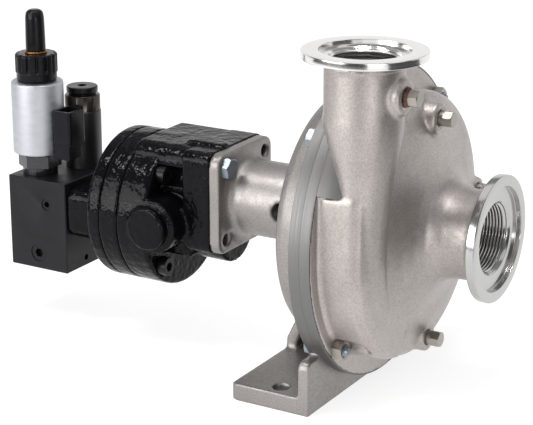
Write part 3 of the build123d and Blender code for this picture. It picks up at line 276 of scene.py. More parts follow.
def ramp(tree, value, stops):
    """Colour that runs through (position, colour) stops as the value goes from 0 to 1."""
    node = tree.nodes.new("ShaderNodeValToRGB")
    elements = node.color_ramp.elements
    while len(elements) < len(stops):
        elements.new(0.5)
    for element, (position, color) in zip(elements, stops):
        element.position = position
        element.color = (*color, 1)
    tree.links.new(value, node.inputs["Fac"])
    return node.outputs["Color"]


def to_range(tree, value, low, high, from_low=0.3, from_high=0.7):
    """Number that goes from low to high as the value crosses its middle range."""
    node = tree.nodes.new("ShaderNodeMapRange")
    node.inputs["From Min"].default_value = from_low
    node.inputs["From Max"].default_value = from_high
    node.inputs["To Min"].default_value = low
    node.inputs["To Max"].default_value = high
    tree.links.new(value, node.inputs["Value"])
    return node.outputs["Result"]


def multiply(tree, first, second):
    """Colour product of two colours."""
    node = tree.nodes.new("ShaderNodeMix")
    node.data_type = "RGBA"
    node.blend_type = "MULTIPLY"
    node.inputs["Factor"].default_value = 1.0
    tree.links.new(first, node.inputs[6])
    tree.links.new(second, node.inputs[7])
    return node.outputs[2]


def bump(tree, shader, heights):
    """Chain of bumps, each (height value, strength, depth in metres), into the shader's normal."""
    normal = None
    for height, strength, depth in heights:
        node = tree.nodes.new("ShaderNodeBump")
        node.inputs["Strength"].default_value = strength
        node.inputs["Distance"].default_value = depth
        tree.links.new(height, node.inputs["Height"])
        if normal is not None:
            tree.links.new(normal, node.inputs["Normal"])
        normal = node.outputs["Normal"]
    tree.links.new(normal, shader.inputs["Normal"])


# %% [markdown]
# The casing and bracket are investment castings, blasted with glass beads. That leaves
# a warm grey, evenly rough metal with soft cloudy patches and a fine pitted grain.
# Three noises give it: one the size of a hand for the clouds, one of a few
# millimetres for mottling, and one under a millimetre for the grain.

# %% Bead-blasted casting
def cast_finish(name, dark, light, roughness=(0.38, 0.5), grain=0.45):
    """Cloudy colour times fine mottling, with roughness and a two-step grain."""
    material, tree, shader, coordinates = start_finish(name, light, 0.92, 0.45)
    clouds = noise(tree, coordinates, 16, 3)
    mottle = noise(tree, coordinates, 260, 4)
    grains = noise(tree, coordinates, 1000, 3)
    tone = ramp(tree, clouds, [(0.32, dark), (0.68, light)])
    specks = ramp(tree, grains, [(0.36, (0.80, 0.79, 0.78)), (0.60, (1, 1, 1))])
    tree.links.new(multiply(tree, tone, specks), shader.inputs["Base Color"])
    tree.links.new(to_range(tree, mottle, *roughness), shader.inputs["Roughness"])
    bump(tree, shader, [(mottle, 0.10, 0.0006), (grains, grain, 0.00018)])
    return material


# %% [markdown]
# A turned face carries the fine groove of the tool. Along the axis the groove shows on
# the rim, and across it on the face, so its height follows radius plus distance along
# the axis. Brushed grooves also stretch highlights, which the shader's anisotropy does.

# %% Turned metal
def turned_finish(name, color, axis, centre, roughness=(0.12, 0.20), pitch=0.0006, stretch=0.3):
    """Tool grooves in a one-dimensional noise of radius plus distance along the axis."""
    material, tree, shader, coordinates = start_finish(name, color, 1.0, 0.22)
    shift = tree.nodes.new("ShaderNodeMapping")
    shift.inputs["Location"].default_value = tuple(-np.asarray(to_frame(centre)))
    tree.links.new(coordinates, shift.inputs["Vector"])
    split = tree.nodes.new("ShaderNodeSeparateXYZ")
    tree.links.new(shift.outputs["Vector"], split.inputs["Vector"])
    letters = {"x": ("X", "Y", "Z"), "y": ("Y", "Z", "X"), "z": ("Z", "X", "Y")}[axis]
    flat = tree.nodes.new("ShaderNodeCombineXYZ")
    tree.links.new(split.outputs[letters[1]], flat.inputs["X"])
    tree.links.new(split.outputs[letters[2]], flat.inputs["Y"])
    radius = tree.nodes.new("ShaderNodeVectorMath")
    radius.operation = "LENGTH"
    tree.links.new(flat.outputs["Vector"], radius.inputs[0])
    total = tree.nodes.new("ShaderNodeMath")
    total.operation = "ADD"
    tree.links.new(radius.outputs["Value"], total.inputs[0])
    tree.links.new(split.outputs[letters[0]], total.inputs[1])
    groove = tree.nodes.new("ShaderNodeTexNoise")
    groove.noise_dimensions = "1D"
    groove.inputs["Scale"].default_value = 1 / pitch
    groove.inputs["Detail"].default_value = 2.0
    tree.links.new(total.outputs["Value"], groove.inputs["W"])
    height = groove.outputs[0]
    tint = ramp(tree, height, [(0.25, tuple(0.90 * c for c in color)), (0.75, color)])
    tree.links.new(tint, shader.inputs["Base Color"])
    tree.links.new(to_range(tree, height, *roughness), shader.inputs["Roughness"])
    shader.inputs["Anisotropic"].default_value = stretch
    tangent = tree.nodes.new("ShaderNodeTangent")
    tangent.direction_type = "RADIAL"
    tangent.axis = axis.upper()
    tree.links.new(tangent.outputs["Tangent"], shader.inputs["Tangent"])
    bump(tree, shader, [(height, 0.03, 0.00006)])
    return material


# %% [markdown]
# Bolts, plugs, shafts, gears and springs are plain steel with handling marks. Their
# look is a metal whose roughness wanders over a few millimetres, with a faint scratch
# grain. One function makes them all, and only colour and roughness differ.

# %% Plain and oiled steel
def steel_finish(name, color, roughness, metallic=1.0, grain=0.12, streak=(1, 1, 1)):
    """Mottled metal: wandering roughness, slight colour change and a fine grain."""
    material, tree, shader, coordinates = start_finish(name, color, metallic, roughness[0])
    patches = noise(tree, coordinates, 320, 3, streak)
    grains = noise(tree, coordinates, 2200, 2, streak)
    tint = ramp(tree, patches, [(0.3, tuple(0.88 * c for c in color)), (0.7, color)])
    tree.links.new(tint, shader.inputs["Base Color"])
    tree.links.new(to_range(tree, patches, *roughness), shader.inputs["Roughness"])
    bump(tree, shader, [(grains, grain, 0.0001)])
    return material


# %% [markdown]
# The motor is cast iron under thick gloss enamel. The paint rounds over the casting's
# lumps, so the bump is broad and shallow and the shine is a coat on top. The valve
# block is steel with a black oxide skin, which is flat and much less shiny.

# %% Black enamel, black oxide, plastic and rubber
def black_finish(name, color, roughness, coat=0.0, lumps=0.0, grain=0.1, metallic=0.0, shine=0.5):
    """Dark surface with cloudy sheen, lumps for paint and a grain; its coat follows them too."""
    material, tree, shader, coordinates = start_finish(name, color, metallic, roughness[0])
    clouds = noise(tree, coordinates, 60, 3)
    skin_noise = noise(tree, coordinates, 170, 3)
    grains = noise(tree, coordinates, 1400, 2)
    tint = ramp(tree, clouds, [(0.3, tuple(0.7 * c for c in color)), (0.7, tuple(1.25 * c for c in color))])
    tree.links.new(tint, shader.inputs["Base Color"])
    tree.links.new(to_range(tree, clouds, *roughness), shader.inputs["Roughness"])
    shader.inputs["Specular IOR Level"].default_value = shine
    shader.inputs["Coat Weight"].default_value = coat
    shader.inputs["Coat Roughness"].default_value = 0.05
    heights = [(grains, grain, 0.0001)]
    if lumps:
        heights.append((skin_noise, lumps, 0.0012))
    bump(tree, shader, heights)
    tree.links.new(shader.inputs["Normal"].links[0].from_socket, shader.inputs["Coat Normal"])
    return material


# %% [markdown]
# Each slot of the model gets one finish, made by the functions above. What sets them
# apart is the colour, the range of roughness and how strong the lumps and grain are.

# %% The finishes of this pump
finishes = {
    "zinc_bolt": steel_finish("zinc_bolt", (0.27, 0.31, 0.345), (0.28, 0.42)),
    "cast_stainless": cast_finish("cast_stainless", (0.43, 0.397, 0.380), (0.54, 0.500, 0.480)),
    # The bracket's finish is the casing's blasted metal made darker all over, which is painted shade.
    "cast_bracket": cast_finish("cast_bracket", (0.285, 0.266, 0.256), (0.36, 0.338, 0.326)),
    "machined_stainless": steel_finish("machined_stainless", (0.60, 0.59, 0.575), (0.18, 0.30)),
    "fastener_steel": steel_finish("fastener_steel", (0.42, 0.39, 0.355), (0.30, 0.44)),
    "ground_steel": steel_finish("ground_steel", (0.62, 0.62, 0.63), (0.16, 0.28)),
    "spring_steel": steel_finish("spring_steel", (0.34, 0.34, 0.35), (0.25, 0.40)),
    "black_enamel": black_finish("black_enamel", (0.003, 0.003, 0.004), (0.08, 0.20),
                                 coat=0.20, lumps=0.8, shine=0.03),
    "black_block": black_finish("black_block", (0.006, 0.006, 0.0075), (0.34, 0.48), grain=0.2, shine=0.24),
    "black_screw": black_finish("black_screw", (0.008, 0.008, 0.009), (0.24, 0.38),
                                metallic=0.3, shine=0.3),
    "zinc_case": steel_finish("zinc_case", (0.58, 0.59, 0.61), (0.30, 0.42), streak=(1, 1, 0.08)),
    "black_plastic": black_finish("black_plastic", (0.006, 0.006, 0.007), (0.18, 0.30),
                                  grain=0.20, shine=0.14),
    "black_rubber": black_finish("black_rubber", (0.006, 0.006, 0.007), (0.15, 0.25),
                                 grain=0.10, shine=0.16),
    "seal_ceramic": black_finish("seal_ceramic", (0.72, 0.69, 0.62), (0.15, 0.25)),
    "seal_carbon": black_finish("seal_carbon", (0.045, 0.045, 0.048), (0.30, 0.42)),
    "bronze": steel_finish("bronze", (0.52, 0.33, 0.15), (0.25, 0.38)),
    "boot_brass": steel_finish("boot_brass", (0.30, 0.14, 0.05), (0.28, 0.42)),
    "nitrile": black_finish("nitrile", (0.022, 0.022, 0.022), (0.50, 0.65)),
}
print("finishes", len(finishes))

# %% [markdown]
# Every CAD node starts with its own slot's finish, so nothing inside is left bare when
# a section or another view shows it. The record lists which nodes use which slot by
# the body's parts, and this table follows the same grouping.

# %% Finishes on the carried-over nodes
slot_nodes = {
    "cast_stainless": ["volute_casing", "impeller"],
    "cast_bracket": ["motor_bracket"],
    "machined_stainless": ["pump_shaft", "impeller_nut"],
    "fastener_steel": ["casing_bolts", "casing_nuts", "casing_short_bolt", "motor_bolts", "impeller_key",
                       "vent_plug", "prime_plug", "drain_plug", "gauge_plug", "motor_shaft_key"],
    "ground_steel": ["bearing_outer_race", "bearing_inner_race", "bearing_cage", "motor_drive_gear",
                     "motor_idler_gear", "valve_body", "valve_spool", "override_pin", "connector_pins",
                     "relief_poppet"],
    "spring_steel": ["seal_spring", "bearing_snap_ring", "spool_spring", "relief_spring"],
    "black_enamel": ["motor_front_housing", "motor_gear_section", "motor_rear_cover"],
    "black_block": ["manifold_block", "relief_valve_body"],
    "black_screw": ["motor_cap_screws", "manifold_screws", "manifold_plugs", "relief_cap"],
    "zinc_case": ["solenoid_coil"],
    "black_plastic": ["coil_connector", "coil_nut"],
    "black_rubber": ["override_boot"],
    "seal_ceramic": ["seal_seat"],
    "seal_carbon": ["seal_head"],
    "bronze": ["motor_front_bushings", "motor_rear_bushings", "motor_side_plates"],
    "boot_brass": ["boot_ring"],
    "nitrile": ["casing_o_ring", "shaft_slinger", "motor_shaft_seal"],
}
for slot_name, node_names in slot_nodes.items():
    for node_name in node_names:
        if node_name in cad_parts:
            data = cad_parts[node_name].data
            data.materials.clear()
            data.materials.append(finishes[slot_name])
print("nodes without a finish", sorted(set(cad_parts) - set(sum(slot_nodes.values(), []))))

# %% [markdown]
# A casting has no sharp corner: its edges and hollows are rounded by the mould. The
# CAD solid has the right form but crisp edges. So a copy of its mesh is merged,
# rebuilt in small voxels and relaxed, which rounds edges and fills hollows by a
# millimetre or two, as a foundry fillet does. Rounding each edge by hand would break
# where the scroll, pipe and bosses run into each other.

# %% Castings from the CAD solids
def copy_of_node(name, node):
    """Copy of a CAD node's mesh with its loose triangles merged."""
    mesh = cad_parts[node].data.copy()
    mesh.name = name
    work = bmesh.new()
    work.from_mesh(mesh)
    bmesh.ops.remove_doubles(work, verts=work.verts, dist=1e-6)
    work.to_mesh(mesh)
    work.free()
    return mesh


def points_of(mesh):
    """Vertex places of a mesh in millimetres from the shaft."""
    flat = np.empty(len(mesh.vertices) * 3, np.float32)
    mesh.vertices.foreach_get("co", flat)
    return from_frame(flat.reshape(-1, 3))


def set_points(mesh, points):
    """Puts vertex places back into a mesh."""
    mesh.vertices.foreach_set("co", to_frame(points).astype(np.float32).ravel())
    mesh.update()


def casting(name, node, voxel, relax, shape=None):
    """Voxel copy of a node, relaxed, with an optional function that moves its points."""
    source = bpy.data.objects.new(name + "_source", copy_of_node(name + "_source", node))
    bpy.context.scene.collection.objects.link(source)
    remesh = source.modifiers.new("voxels", "REMESH")
    remesh.mode = "VOXEL"
    remesh.voxel_size = voxel * mm
    remesh.use_smooth_shade = True
    smooth = source.modifiers.new("relax", "SMOOTH")
    smooth.factor = 0.5
    smooth.iterations = relax
    bpy.context.view_layer.update()
    ready = source.evaluated_get(bpy.context.evaluated_depsgraph_get())
    mesh = bpy.data.meshes.new_from_object(ready)
    mesh.name = name
    bpy.data.objects.remove(source)
    if shape is not None:
        set_points(mesh, shape(points_of(mesh)))
    mesh.shade_smooth()
    print(name, len(mesh.polygons), "faces")
    return bpy.data.objects.new(name, mesh)


# %% [markdown]
# The pump casing is one casting, but its two clamp flanges and its bolting ring are
# machined afterwards. Those machined parts are separate crisp pieces here, so the
# casting is drawn in a little under them: near a flange it becomes a plain neck, and
# the ring is about a third of a millimetre smaller all round. Beside the outlet limb
# it is also moved along the shaft, which gives the limb its waist above the ledge.

# %% The casing's casting
suction_face = node_box("volute_casing")[1][0]
suction_neck_r = 29.5
suction_cone_x = suction_face - 9.0
discharge_face = node_box("volute_casing")[1][2]
discharge_at = np.array([34.3, -72.0, 0.0])
discharge_neck_r = 24.8
discharge_cone_z = discharge_face - 8.4
ring_r = node_box("volute_casing")[1][1]
ring_front_x = 15.2
ring_inset = 0.35
suction_clear_r = 24.5
discharge_clear_r = 22.4
widest_bore_r = 30.0
limb_waist = 6.5
limb_near_y = -60.0
ledge_z = 39.4
waist_top_z = 84.0
waist_fade_z = 42.0
beside_inset = 1.2
joint_gap = 0.15


def hold_radius(points, mask, centre, first, second, low, high):
    """Moves masked points so that their radius about a centre stays between two values."""
    side = points[mask][:, [first, second]] - np.asarray(centre)[[first, second]]
    radius = np.maximum(np.linalg.norm(side, axis=1), 1e-6)
    wanted = np.clip(radius, low, high)
    moved = points[mask]
    moved[:, [first, second]] = np.asarray(centre)[[first, second]] + side * (wanted / radius)[:, None]
    points[mask] = moved


def draw_in_casing(points):
    """Tucks the casting under the flanges, the port threads and the ring."""
    points = points.copy()
    x, y, z = points.T
    radius = np.hypot(y, z)
    flange = x > suction_cone_x
    hold_radius(points, flange, (0, 0, 0), 1, 2, suction_clear_r, suction_neck_r - 0.3)
    points[flange, 0] = np.minimum(points[flange, 0], suction_face - 6.2)
    bore = (x > suction_face - 26.5) & (radius < suction_clear_r)
    hold_radius(points, bore, (0, 0, 0), 1, 2, suction_clear_r, widest_bore_r)
    off = np.hypot(x - discharge_at[0], y - discharge_at[1])
    top = (z > discharge_cone_z) & (off < 45)
    hold_radius(points, top, discharge_at, 0, 1, discharge_clear_r, discharge_neck_r - 0.3)
    points[top, 2] = np.minimum(points[top, 2], discharge_face - 5.8)
    bore = (z > discharge_face - 24.5) & (off < discharge_clear_r)
    hold_radius(points, bore, discharge_at, 0, 1, discharge_clear_r, widest_bore_r)
    rim = (x < ring_front_x + 1.2) & (radius > ring_r - 3) & (radius < ring_r + 0.5)
    hold_radius(points, rim, (0, 0, 0), 1, 2, 0.0, ring_r - ring_inset)
    front = (np.abs(x - ring_front_x) < 0.6) & (radius > 94.6) & (radius < ring_r + 0.5)
    points[front, 0] = ring_front_x - 0.05
    flank = np.clip((waist_top_z - z) / waist_fade_z, 0, 1) * np.clip((z - ledge_z) / 2.0, 0, 1)
    flank = flank * np.clip((38.0 - x) / 18.0, 0, 1) * np.clip((radius - 86.0) / 6.0, 0, 1)
    flank = flank * (y < limb_near_y)
    points[:, 0] += limb_waist * flank * ((x > ring_front_x + 0.8) | (radius > ring_r + 0.5))
    x, y, z = points.T
    radius = np.hypot(y, z)
    beside = (y < limb_near_y) & (z > ledge_z) & (z < waist_top_z)
    beside = beside & (x > 7) & (x < 15.5 + (waist_top_z - z) * 0.25)
    beside = beside & (radius > ring_r - 3) & (radius < ring_r + 6)
    hold_radius(points, beside, (0, 0, 0), 1, 2, 0.0, ring_r - beside_inset)
    back = np.abs(x - ring_joint_x) < 0.5
    points[back, 0] = ring_joint_x + joint_gap
    return points


casing_casting = casting("casing_casting", "volute_casing", 1.45, 7, draw_in_casing)
fit(casing_casting, "pump_unit", finishes["cast_stainless"], ["volute_casing"])

# %% [markdown]
# The bracket is cast in one with its foot, and only its ring gets a crisp turned
# piece. Its skin is relaxed less than the casing's, which keeps the edges of the
# square plate and of the foot tight.

# %% The bracket's casting
def draw_in_bracket(points):
    """Makes the bracket's ring a little smaller, under its turned piece."""
    points = points.copy()
    x, y, z = points.T
    radius = np.hypot(y, z)
    rim = (x > -1.2) & (radius > ring_r - 3) & (radius < ring_r + 0.5) & (z > -ring_r * 0.93)
    hold_radius(points, rim, (0, 0, 0), 1, 2, 0.0, ring_r - ring_inset)
    joint = np.abs(x - ring_joint_x) < 0.6
    points[joint, 0] = ring_joint_x - joint_gap
    return points


bracket_casting = casting("bracket_casting", "motor_bracket", 1.4, 2, draw_in_bracket)
fit(bracket_casting, "pump_unit", finishes["cast_bracket"], ["motor_bracket"])

# %% [markdown]
# The clamp flanges are turned bright. Each has a flat sealing face, a recess, a rim,
# a cone behind it and a pipe thread inside. A closed outline makes flange and sleeve
# in one, and its bore rows carry the thread wave, so the helix is a real surface.

# %% Threaded clamp flanges
thread_pitch = 2.209
thread_depth = 1.35


def sharp_edges(mesh, degrees):
    """True for every edge whose faces meet at more than this angle."""
    mesh.set_sharp_from_angle(angle=math.radians(degrees))
    flags = np.zeros(len(mesh.edges), bool)
    mesh.attributes["sharp_edge"].data.foreach_get("value", flags)
    return flags


def soften_thread(mesh, root, mouth, axis, centre):
    """Keeps only the crests of the thread sharp, and every edge over 14 degrees elsewhere."""
    axle, side, up = AXES[axis]
    points = points_of(mesh) - np.asarray(centre, float)
    along = points @ axle
    radius = np.hypot(points @ side, points @ up)
    ends = np.zeros(len(mesh.edges) * 2, np.int32)
    mesh.edges.foreach_get("vertices", ends)
    ends = ends.reshape(-1, 2)
    thread = (radius[ends] < root + 0.02).all(axis=1) & (along[ends].min(axis=1) < mouth - 0.01)
    crests = sharp_edges(mesh, 50)
    elsewhere = sharp_edges(mesh, 14)
    mesh.attributes["sharp_edge"].data.foreach_set("value", np.where(thread, crests, elsewhere))


def threaded_flange(name, face, flange_r, rim, cone, neck_r, recess_r, recess, root, depth, axis, centre):
    """Flange outline from the thread's mouth round to its end, and a helix that closes it."""
    around = 160
    mouth = face - recess - 1.2
    corners = [
        (mouth, root), (face - recess, root + 1.2), (face - recess, recess_r), (face, recess_r + 0.4),
        (face, flange_r), (face - rim, flange_r), (face - rim, flange_r - 3.0), (face - rim - cone, neck_r),
        (face - rim - cone - 0.4, neck_r - 1.6), (face - depth, neck_r - 2.0), (face - depth, root),
    ]
    reach = [0.0, 0.25, 0.5, 0.45, 0.6, 0.6, 0.3, 0.3, 0.3, 0.3, 0.0]
    outline = rounded(corners, reach).reshape(len(corners), -1, 2)
    outline = np.vstack([corners[:1], outline[1:-1].reshape(-1, 2), corners[-1:]])
    bore = helix_grid(face - depth, mouth, root, -thread_depth, thread_pitch, axis, centre, around)
    piece = skin(name, [(lathe(outline, axis, centre, around), False), (bore, "helix")], 14)
    soften_thread(piece.data, root, mouth, axis, centre)
    return piece


# Both flanges are the same turned stainless; the discharge flange's much brighter colour is painted light.
turned_x = turned_finish("turned_stainless_x", (0.50, 0.496, 0.49), "x", (0, 0, 0))
lit_turned_z = turned_finish("turned_stainless_z", (0.82, 0.81, 0.80), "z", discharge_at)
suction_flange = threaded_flange("suction_flange", suction_face, flange_r=41.5, rim=5.4, cone=3.6,
                                 neck_r=suction_neck_r, recess_r=33.9, recess=3.5,
                                 root=23.0, depth=26.0, axis="x", centre=(0, 0, 0))
discharge_flange = threaded_flange("discharge_flange", discharge_face, flange_r=38.9, rim=4.8, cone=3.6,
                                   neck_r=discharge_neck_r, recess_r=27.8, recess=3.0,
                                   root=21.2, depth=24.0, axis="z", centre=discharge_at)
for flange, finish in ((suction_flange, turned_x), (discharge_flange, lit_turned_z)):
    fit(flange, "pump_unit", finish, ["volute_casing"])
print("flanges", len(suction_flange.data.polygons), len(discharge_flange.data.polygons))

# %% [markdown]
# The bolting ring is turned on its rim only, and its faces stay cast. So each half is
# a narrow band round the rim, one on the bracket and one on the casing. Two closed
# outlines with small edge breaks make them, and the fine parting line is simply the
# gap between their rounded edges.

# %% The two halves of the bolting ring
# The ring's turned finish is painted much darker than the flanges' turned metal; that dark tone is painted
# shade.
shaded_ring_finish = turned_finish("shaded_turned_ring", (0.200, 0.198, 0.196), "x", (0, 0, 0),
                            roughness=(0.42, 0.56), pitch=0.0012, stretch=0.0)


def ring_half(name, back, front, inner):
    """Closed outline of a band: 0.5 mm off its outer edge and 0.12 mm off its joint edge."""
    breaks = [0.2, 0.12, 0.5, 0.2] if front > ring_joint_x + 1 else [0.2, 0.5, 0.12, 0.2]
    outline = rounded([(back, inner), (back, ring_r), (front, ring_r), (front, inner)], breaks, 3)
    return skin(name, [(lathe(outline, "x", (0, 0, 0), 192), True)])


band_depth = 2.4
hair_gap = 0.02
for half_name, node, back, front in (
        ("ring_bracket_half", "motor_bracket", -0.06, ring_joint_x - hair_gap),
        ("ring_casing_half", "volute_casing", ring_joint_x + hair_gap, ring_front_x - 0.35)):
    half = ring_half(half_name, back, front, ring_r - band_depth)
    fit(half, "pump_unit", shaded_ring_finish, [node])

# %% [markdown]
# Between the ring and the outlet limb the casting runs out in a short conical web,
# brushed along with the ring and sharing its finish, whose dark tone is painted shade.
# It is a sector of a turned outline, closed at both ends by drawing the outline in to
# its middle, and its lower end stands on the ledge.

# %% The web between ring and limb
def sector_grid(outline, axis, centre, degrees, steps):
    """Turned surface over part of a turn; its first and last columns shrink to the outline's middle."""
    axle, side, up = AXES[axis]
    t = np.radians(np.linspace(*degrees, steps))
    t = np.concatenate([t[:1], t, t[-1:]])[None, :, None]
    keep = np.ones(steps + 2)
    keep[[0, -1]] = 0.0
    inner = outline.mean(axis=0)
    along = (inner[0] + (outline[:, 0][:, None] - inner[0]) * keep)[:, :, None]
    radius = (inner[1] + (outline[:, 1][:, None] - inner[1]) * keep)[:, :, None]
    return np.asarray(centre, float) + along * axle + radius * (np.cos(t) * side + np.sin(t) * up)


web_outline = rounded([
    (14.0, 88.0), (14.0, ring_r - 0.12), (23.0, ring_r - 0.9), (34.0, 99.5), (39.0, 88.0),
], [0.3, 0.3, 5.0, 4.0, 1.0], 6)
web_top_degrees = 123.0
web_foot_z = 39.0
web_foot_r = 98.0
web_ends = (web_top_degrees, 180.0 - math.degrees(math.asin(web_foot_z / web_foot_r)))
web = skin("ring_web", [(sector_grid(web_outline, "x", (0, 0, 0), web_ends, 60), "sector")], 40)
fit(web, "pump_unit", shaded_ring_finish, ["volute_casing"])
print("web from", web_ends[0], "to", round(web_ends[1], 1), "degrees")

# %% [markdown]
# A hexagon bolt's head is forged, then its corners are chamfered by a cone. Where cone
# and flats meet, each flat ends in a curve. Taking the smaller of the cone's radius
# and the hexagon's radius gives that curve without any cutting. The shank shows a few
# turns of thread, which is the same wave as in the ports at a finer pitch.

# %% Bolts, nuts and plugs
def head_outline(seat, top, across_flats):
    """Outline of a chamfered head, from the axis at its seat to the axis at its top."""
    sign = 1 if top > seat else -1
    corner = across_flats / math.sqrt(3)
    start = across_flats * 0.475
    drop = np.linspace(0, (corner - start) * 0.577, 6)
    chamfer = np.stack([top - sign * drop, start + drop * 1.732], axis=1)[::-1]
    below = np.array([(seat, 0.0), (seat, corner * 0.97), (seat + sign * 0.25, corner * 1.01)])
    return np.vstack([below, chamfer, [(top, start * 0.96), (top, 0.0)]])


def shank_grids(start, end, radius, axis, centre, pitch=1.25, around=48):
    """Threaded rod: a plain core up to the thread, the helix, and a bevelled tip."""
    sign = 1 if end > start else -1
    low, high = sorted((start, end - sign * 0.8))
    root = radius - 0.66
    helix = helix_grid(low, high, root, 0.66, pitch, axis, centre, around, (0.6, 0.6), 6)
    tip = np.array([(end - sign * 0.8, root), (end, root - 0.7), (end, 0.0)])
    foot = np.array([(start, 0.0), (start, root)])
    return [(helix, "helix"), (lathe(tip, axis, centre, around), False),
            (lathe(foot, axis, centre, around), False)]


def on_circle(radius, degrees):
    """Place on a circle about the shaft, counted from +Y towards +Z."""
    return 0.0, radius * math.cos(math.radians(degrees)), radius * math.sin(math.radians(degrees))


def bolt_set(name, node, places, seat, top, across_flats, shank, turn):
    """Heads and shanks of one size of bolt, as one piece."""
    grids = []
    for number, centre in enumerate(places):
        head = head_outline(seat, top, across_flats)
        grids.append((hexagon_grid(head, across_flats, "x", centre, turn + 17 * number), False))
        grids.extend(shank_grids(*shank, "x", centre))
    return fit(skin(name, grids, 26), "pump_unit", finishes["zinc_bolt"], [node])


bolt_circle_r = 96.0
bolt_r = 4.0
bolt_flats = 13.0
bolt_head_t = 5.3
nut_t = 6.5
nut_hole_r = 4.4
half_plate_spacing = 25.4
through_places = [on_circle(bolt_circle_r, degrees) for degrees in (45, 225, 315)]
bolt_set("ring_bolts", "casing_bolts", through_places, -hair_gap, -bolt_head_t, bolt_flats,
         (-1.0, 24.2, bolt_r), 45)
bolt_set("ring_short_bolt", "casing_short_bolt", [on_circle(bolt_circle_r, 135)], -hair_gap, -bolt_head_t,
         bolt_flats, (-1.0, 13.2, bolt_r), 15)
plate_places = [(0, half_plate_spacing * sign, -half_plate_spacing * sign) for sign in (-1, 1)]
plate_front = node_box("motor_bolts")[1][0] - bolt_head_t
bolt_set("plate_bolts", "motor_bolts", plate_places, plate_front, plate_front + bolt_head_t, bolt_flats,
         (plate_front - 21.5, plate_front + 1.0, bolt_r), 15)
nut_grids = []
for number, centre in enumerate(through_places):
    seat = ring_front_x + hair_gap
    outline = np.vstack([head_outline(seat, seat + nut_t, bolt_flats)[1:-1],
                         [(seat + 6.2, nut_hole_r), (seat + 0.3, nut_hole_r)]])
    nut_grids.append((hexagon_grid(outline, bolt_flats, "x", centre, 45 + 21 * number), True))
fit(skin("ring_nuts", nut_grids, 26), "pump_unit", finishes["fastener_steel"],
    ["casing_nuts"])


plug_flats = 9.6


def port_plug(name, node, sealed):
    """Hexagon head on a round neck, with a ring of thread sealant where it is sealed."""
    low, high = node_box(node)
    centre = (0, (low[1] + high[1]) / 2, (low[2] + high[2]) / 2)
    face = high[0] - 8.6
    head = head_outline(face + 2.6, high[0], plug_flats)
    neck = rounded_open([(low[0], 0), (low[0], 4.8), (face + 2.8, 4.8), (face + 2.8, 0)], 0.3)
    grids = [(hexagon_grid(head, plug_flats, "x", centre, 12), False),
             (lathe(neck, "x", centre, 64), False)]
    fit(skin(name, grids, 26), "pump_unit", finishes["fastener_steel"], [node])
    if sealed:
        t = angles(96)
        wobble = 0.35 * np.sin(5 * t + 1) + 0.25 * np.sin(11 * t)
        paste = rounded([(face - 0.3, 4.6), (face - 0.3, 6.0), (face + 1.6, 5.5), (face + 2.5, 4.6)], 0.5)
        radius = paste[:, 1][:, None] + np.clip((paste[:, 1] - 5.0), 0, 1)[:, None] * wobble[None, :]
        grid = turned_grid(paste[:, 0], radius, "x", centre, 96)
        fit(skin(name + "_sealant", [(grid, True)], 60), "pump_unit", sealant)


sealant = black_finish("thread_sealant", (0.12, 0.055, 0.03), (0.55, 0.75), grain=0.4, lumps=0.3)
for plug_node in ("vent_plug", "prime_plug", "drain_plug", "gauge_plug"):
    port_plug("hex_" + plug_node, plug_node, plug_node == "vent_plug")
print("fasteners made")

# %% [markdown]
# The motor's three sections are painted iron castings, so they get the same voxel
# treatment at a finer size. The thick paint is what rounds their edges.

# %% Motor castings
for casting_name, node, voxel, relax in (
        ("motor_front_casting", "motor_front_housing", 1.0, 5),
        ("motor_rear_casting", "motor_rear_cover", 1.2, 3),
        ("motor_gear_casting", "motor_gear_section", 1.2, 2)):
    piece = casting(casting_name, node, voxel, relax)
    fit(piece, "pump_unit", finishes["black_enamel"], [node])

# %% [markdown]
# Milled and moulded pieces keep the CAD form and only lose their razor edges. A merged
# copy with its flat faces joined takes a narrow Bevel modifier, which is quick and
# keeps every hole. It would not suit the castings, whose fillets are much wider.

# %% Pieces with a broken edge
def broken_edge(name, node, width, slot, segments=2, finish=None):
    """Merged copy of a node with its flat faces joined and its sharp edges bevelled."""
    mesh = copy_of_node(name, node)
    work = bmesh.new()
    work.from_mesh(mesh)
    bmesh.ops.dissolve_limit(work, angle_limit=math.radians(0.6), verts=work.verts, edges=work.edges)
    work.to_mesh(mesh)
    work.free()
    mesh.shade_smooth()
    mesh.set_sharp_from_angle(angle=math.radians(30))
    piece = bpy.data.objects.new(name, mesh)
    bevel = piece.modifiers.new("broken_edge", "BEVEL")
    bevel.width = width * mm
    bevel.segments = segments
    bevel.limit_method = "ANGLE"
    bevel.angle_limit = math.radians(40)
    bevel.harden_normals = True
    return fit(piece, "pump_unit", finish or finishes[slot], [node])


def sleeve_finish(name, start_z):
    """Black below a height and glossy dark metal above it, blended over a millimetre."""
    material, tree, shader, coordinates = start_finish(name, (0.01, 0.01, 0.011), 0.0, 0.35)
    split = tree.nodes.new("ShaderNodeSeparateXYZ")
    tree.links.new(coordinates, split.inputs["Vector"])
    height = float(to_frame((0, 0, start_z))[2])
    blend = to_range(tree, split.outputs["Z"], 0.0, 1.0, height - 0.0005, height + 0.0005)
    tree.links.new(ramp(tree, blend, [(0.2, (0.010, 0.010, 0.011)), (0.8, (0.060, 0.053, 0.046))]),
                   shader.inputs["Base Color"])
    tree.links.new(to_range(tree, blend, 0.0, 0.95, 0.0, 1.0), shader.inputs["Metallic"])
    tree.links.new(to_range(tree, blend, 0.40, 0.20, 0.0, 1.0), shader.inputs["Roughness"])
    bump(tree, shader, [(noise(tree, coordinates, 1400, 2), 0.1, 0.0001)])
    return material


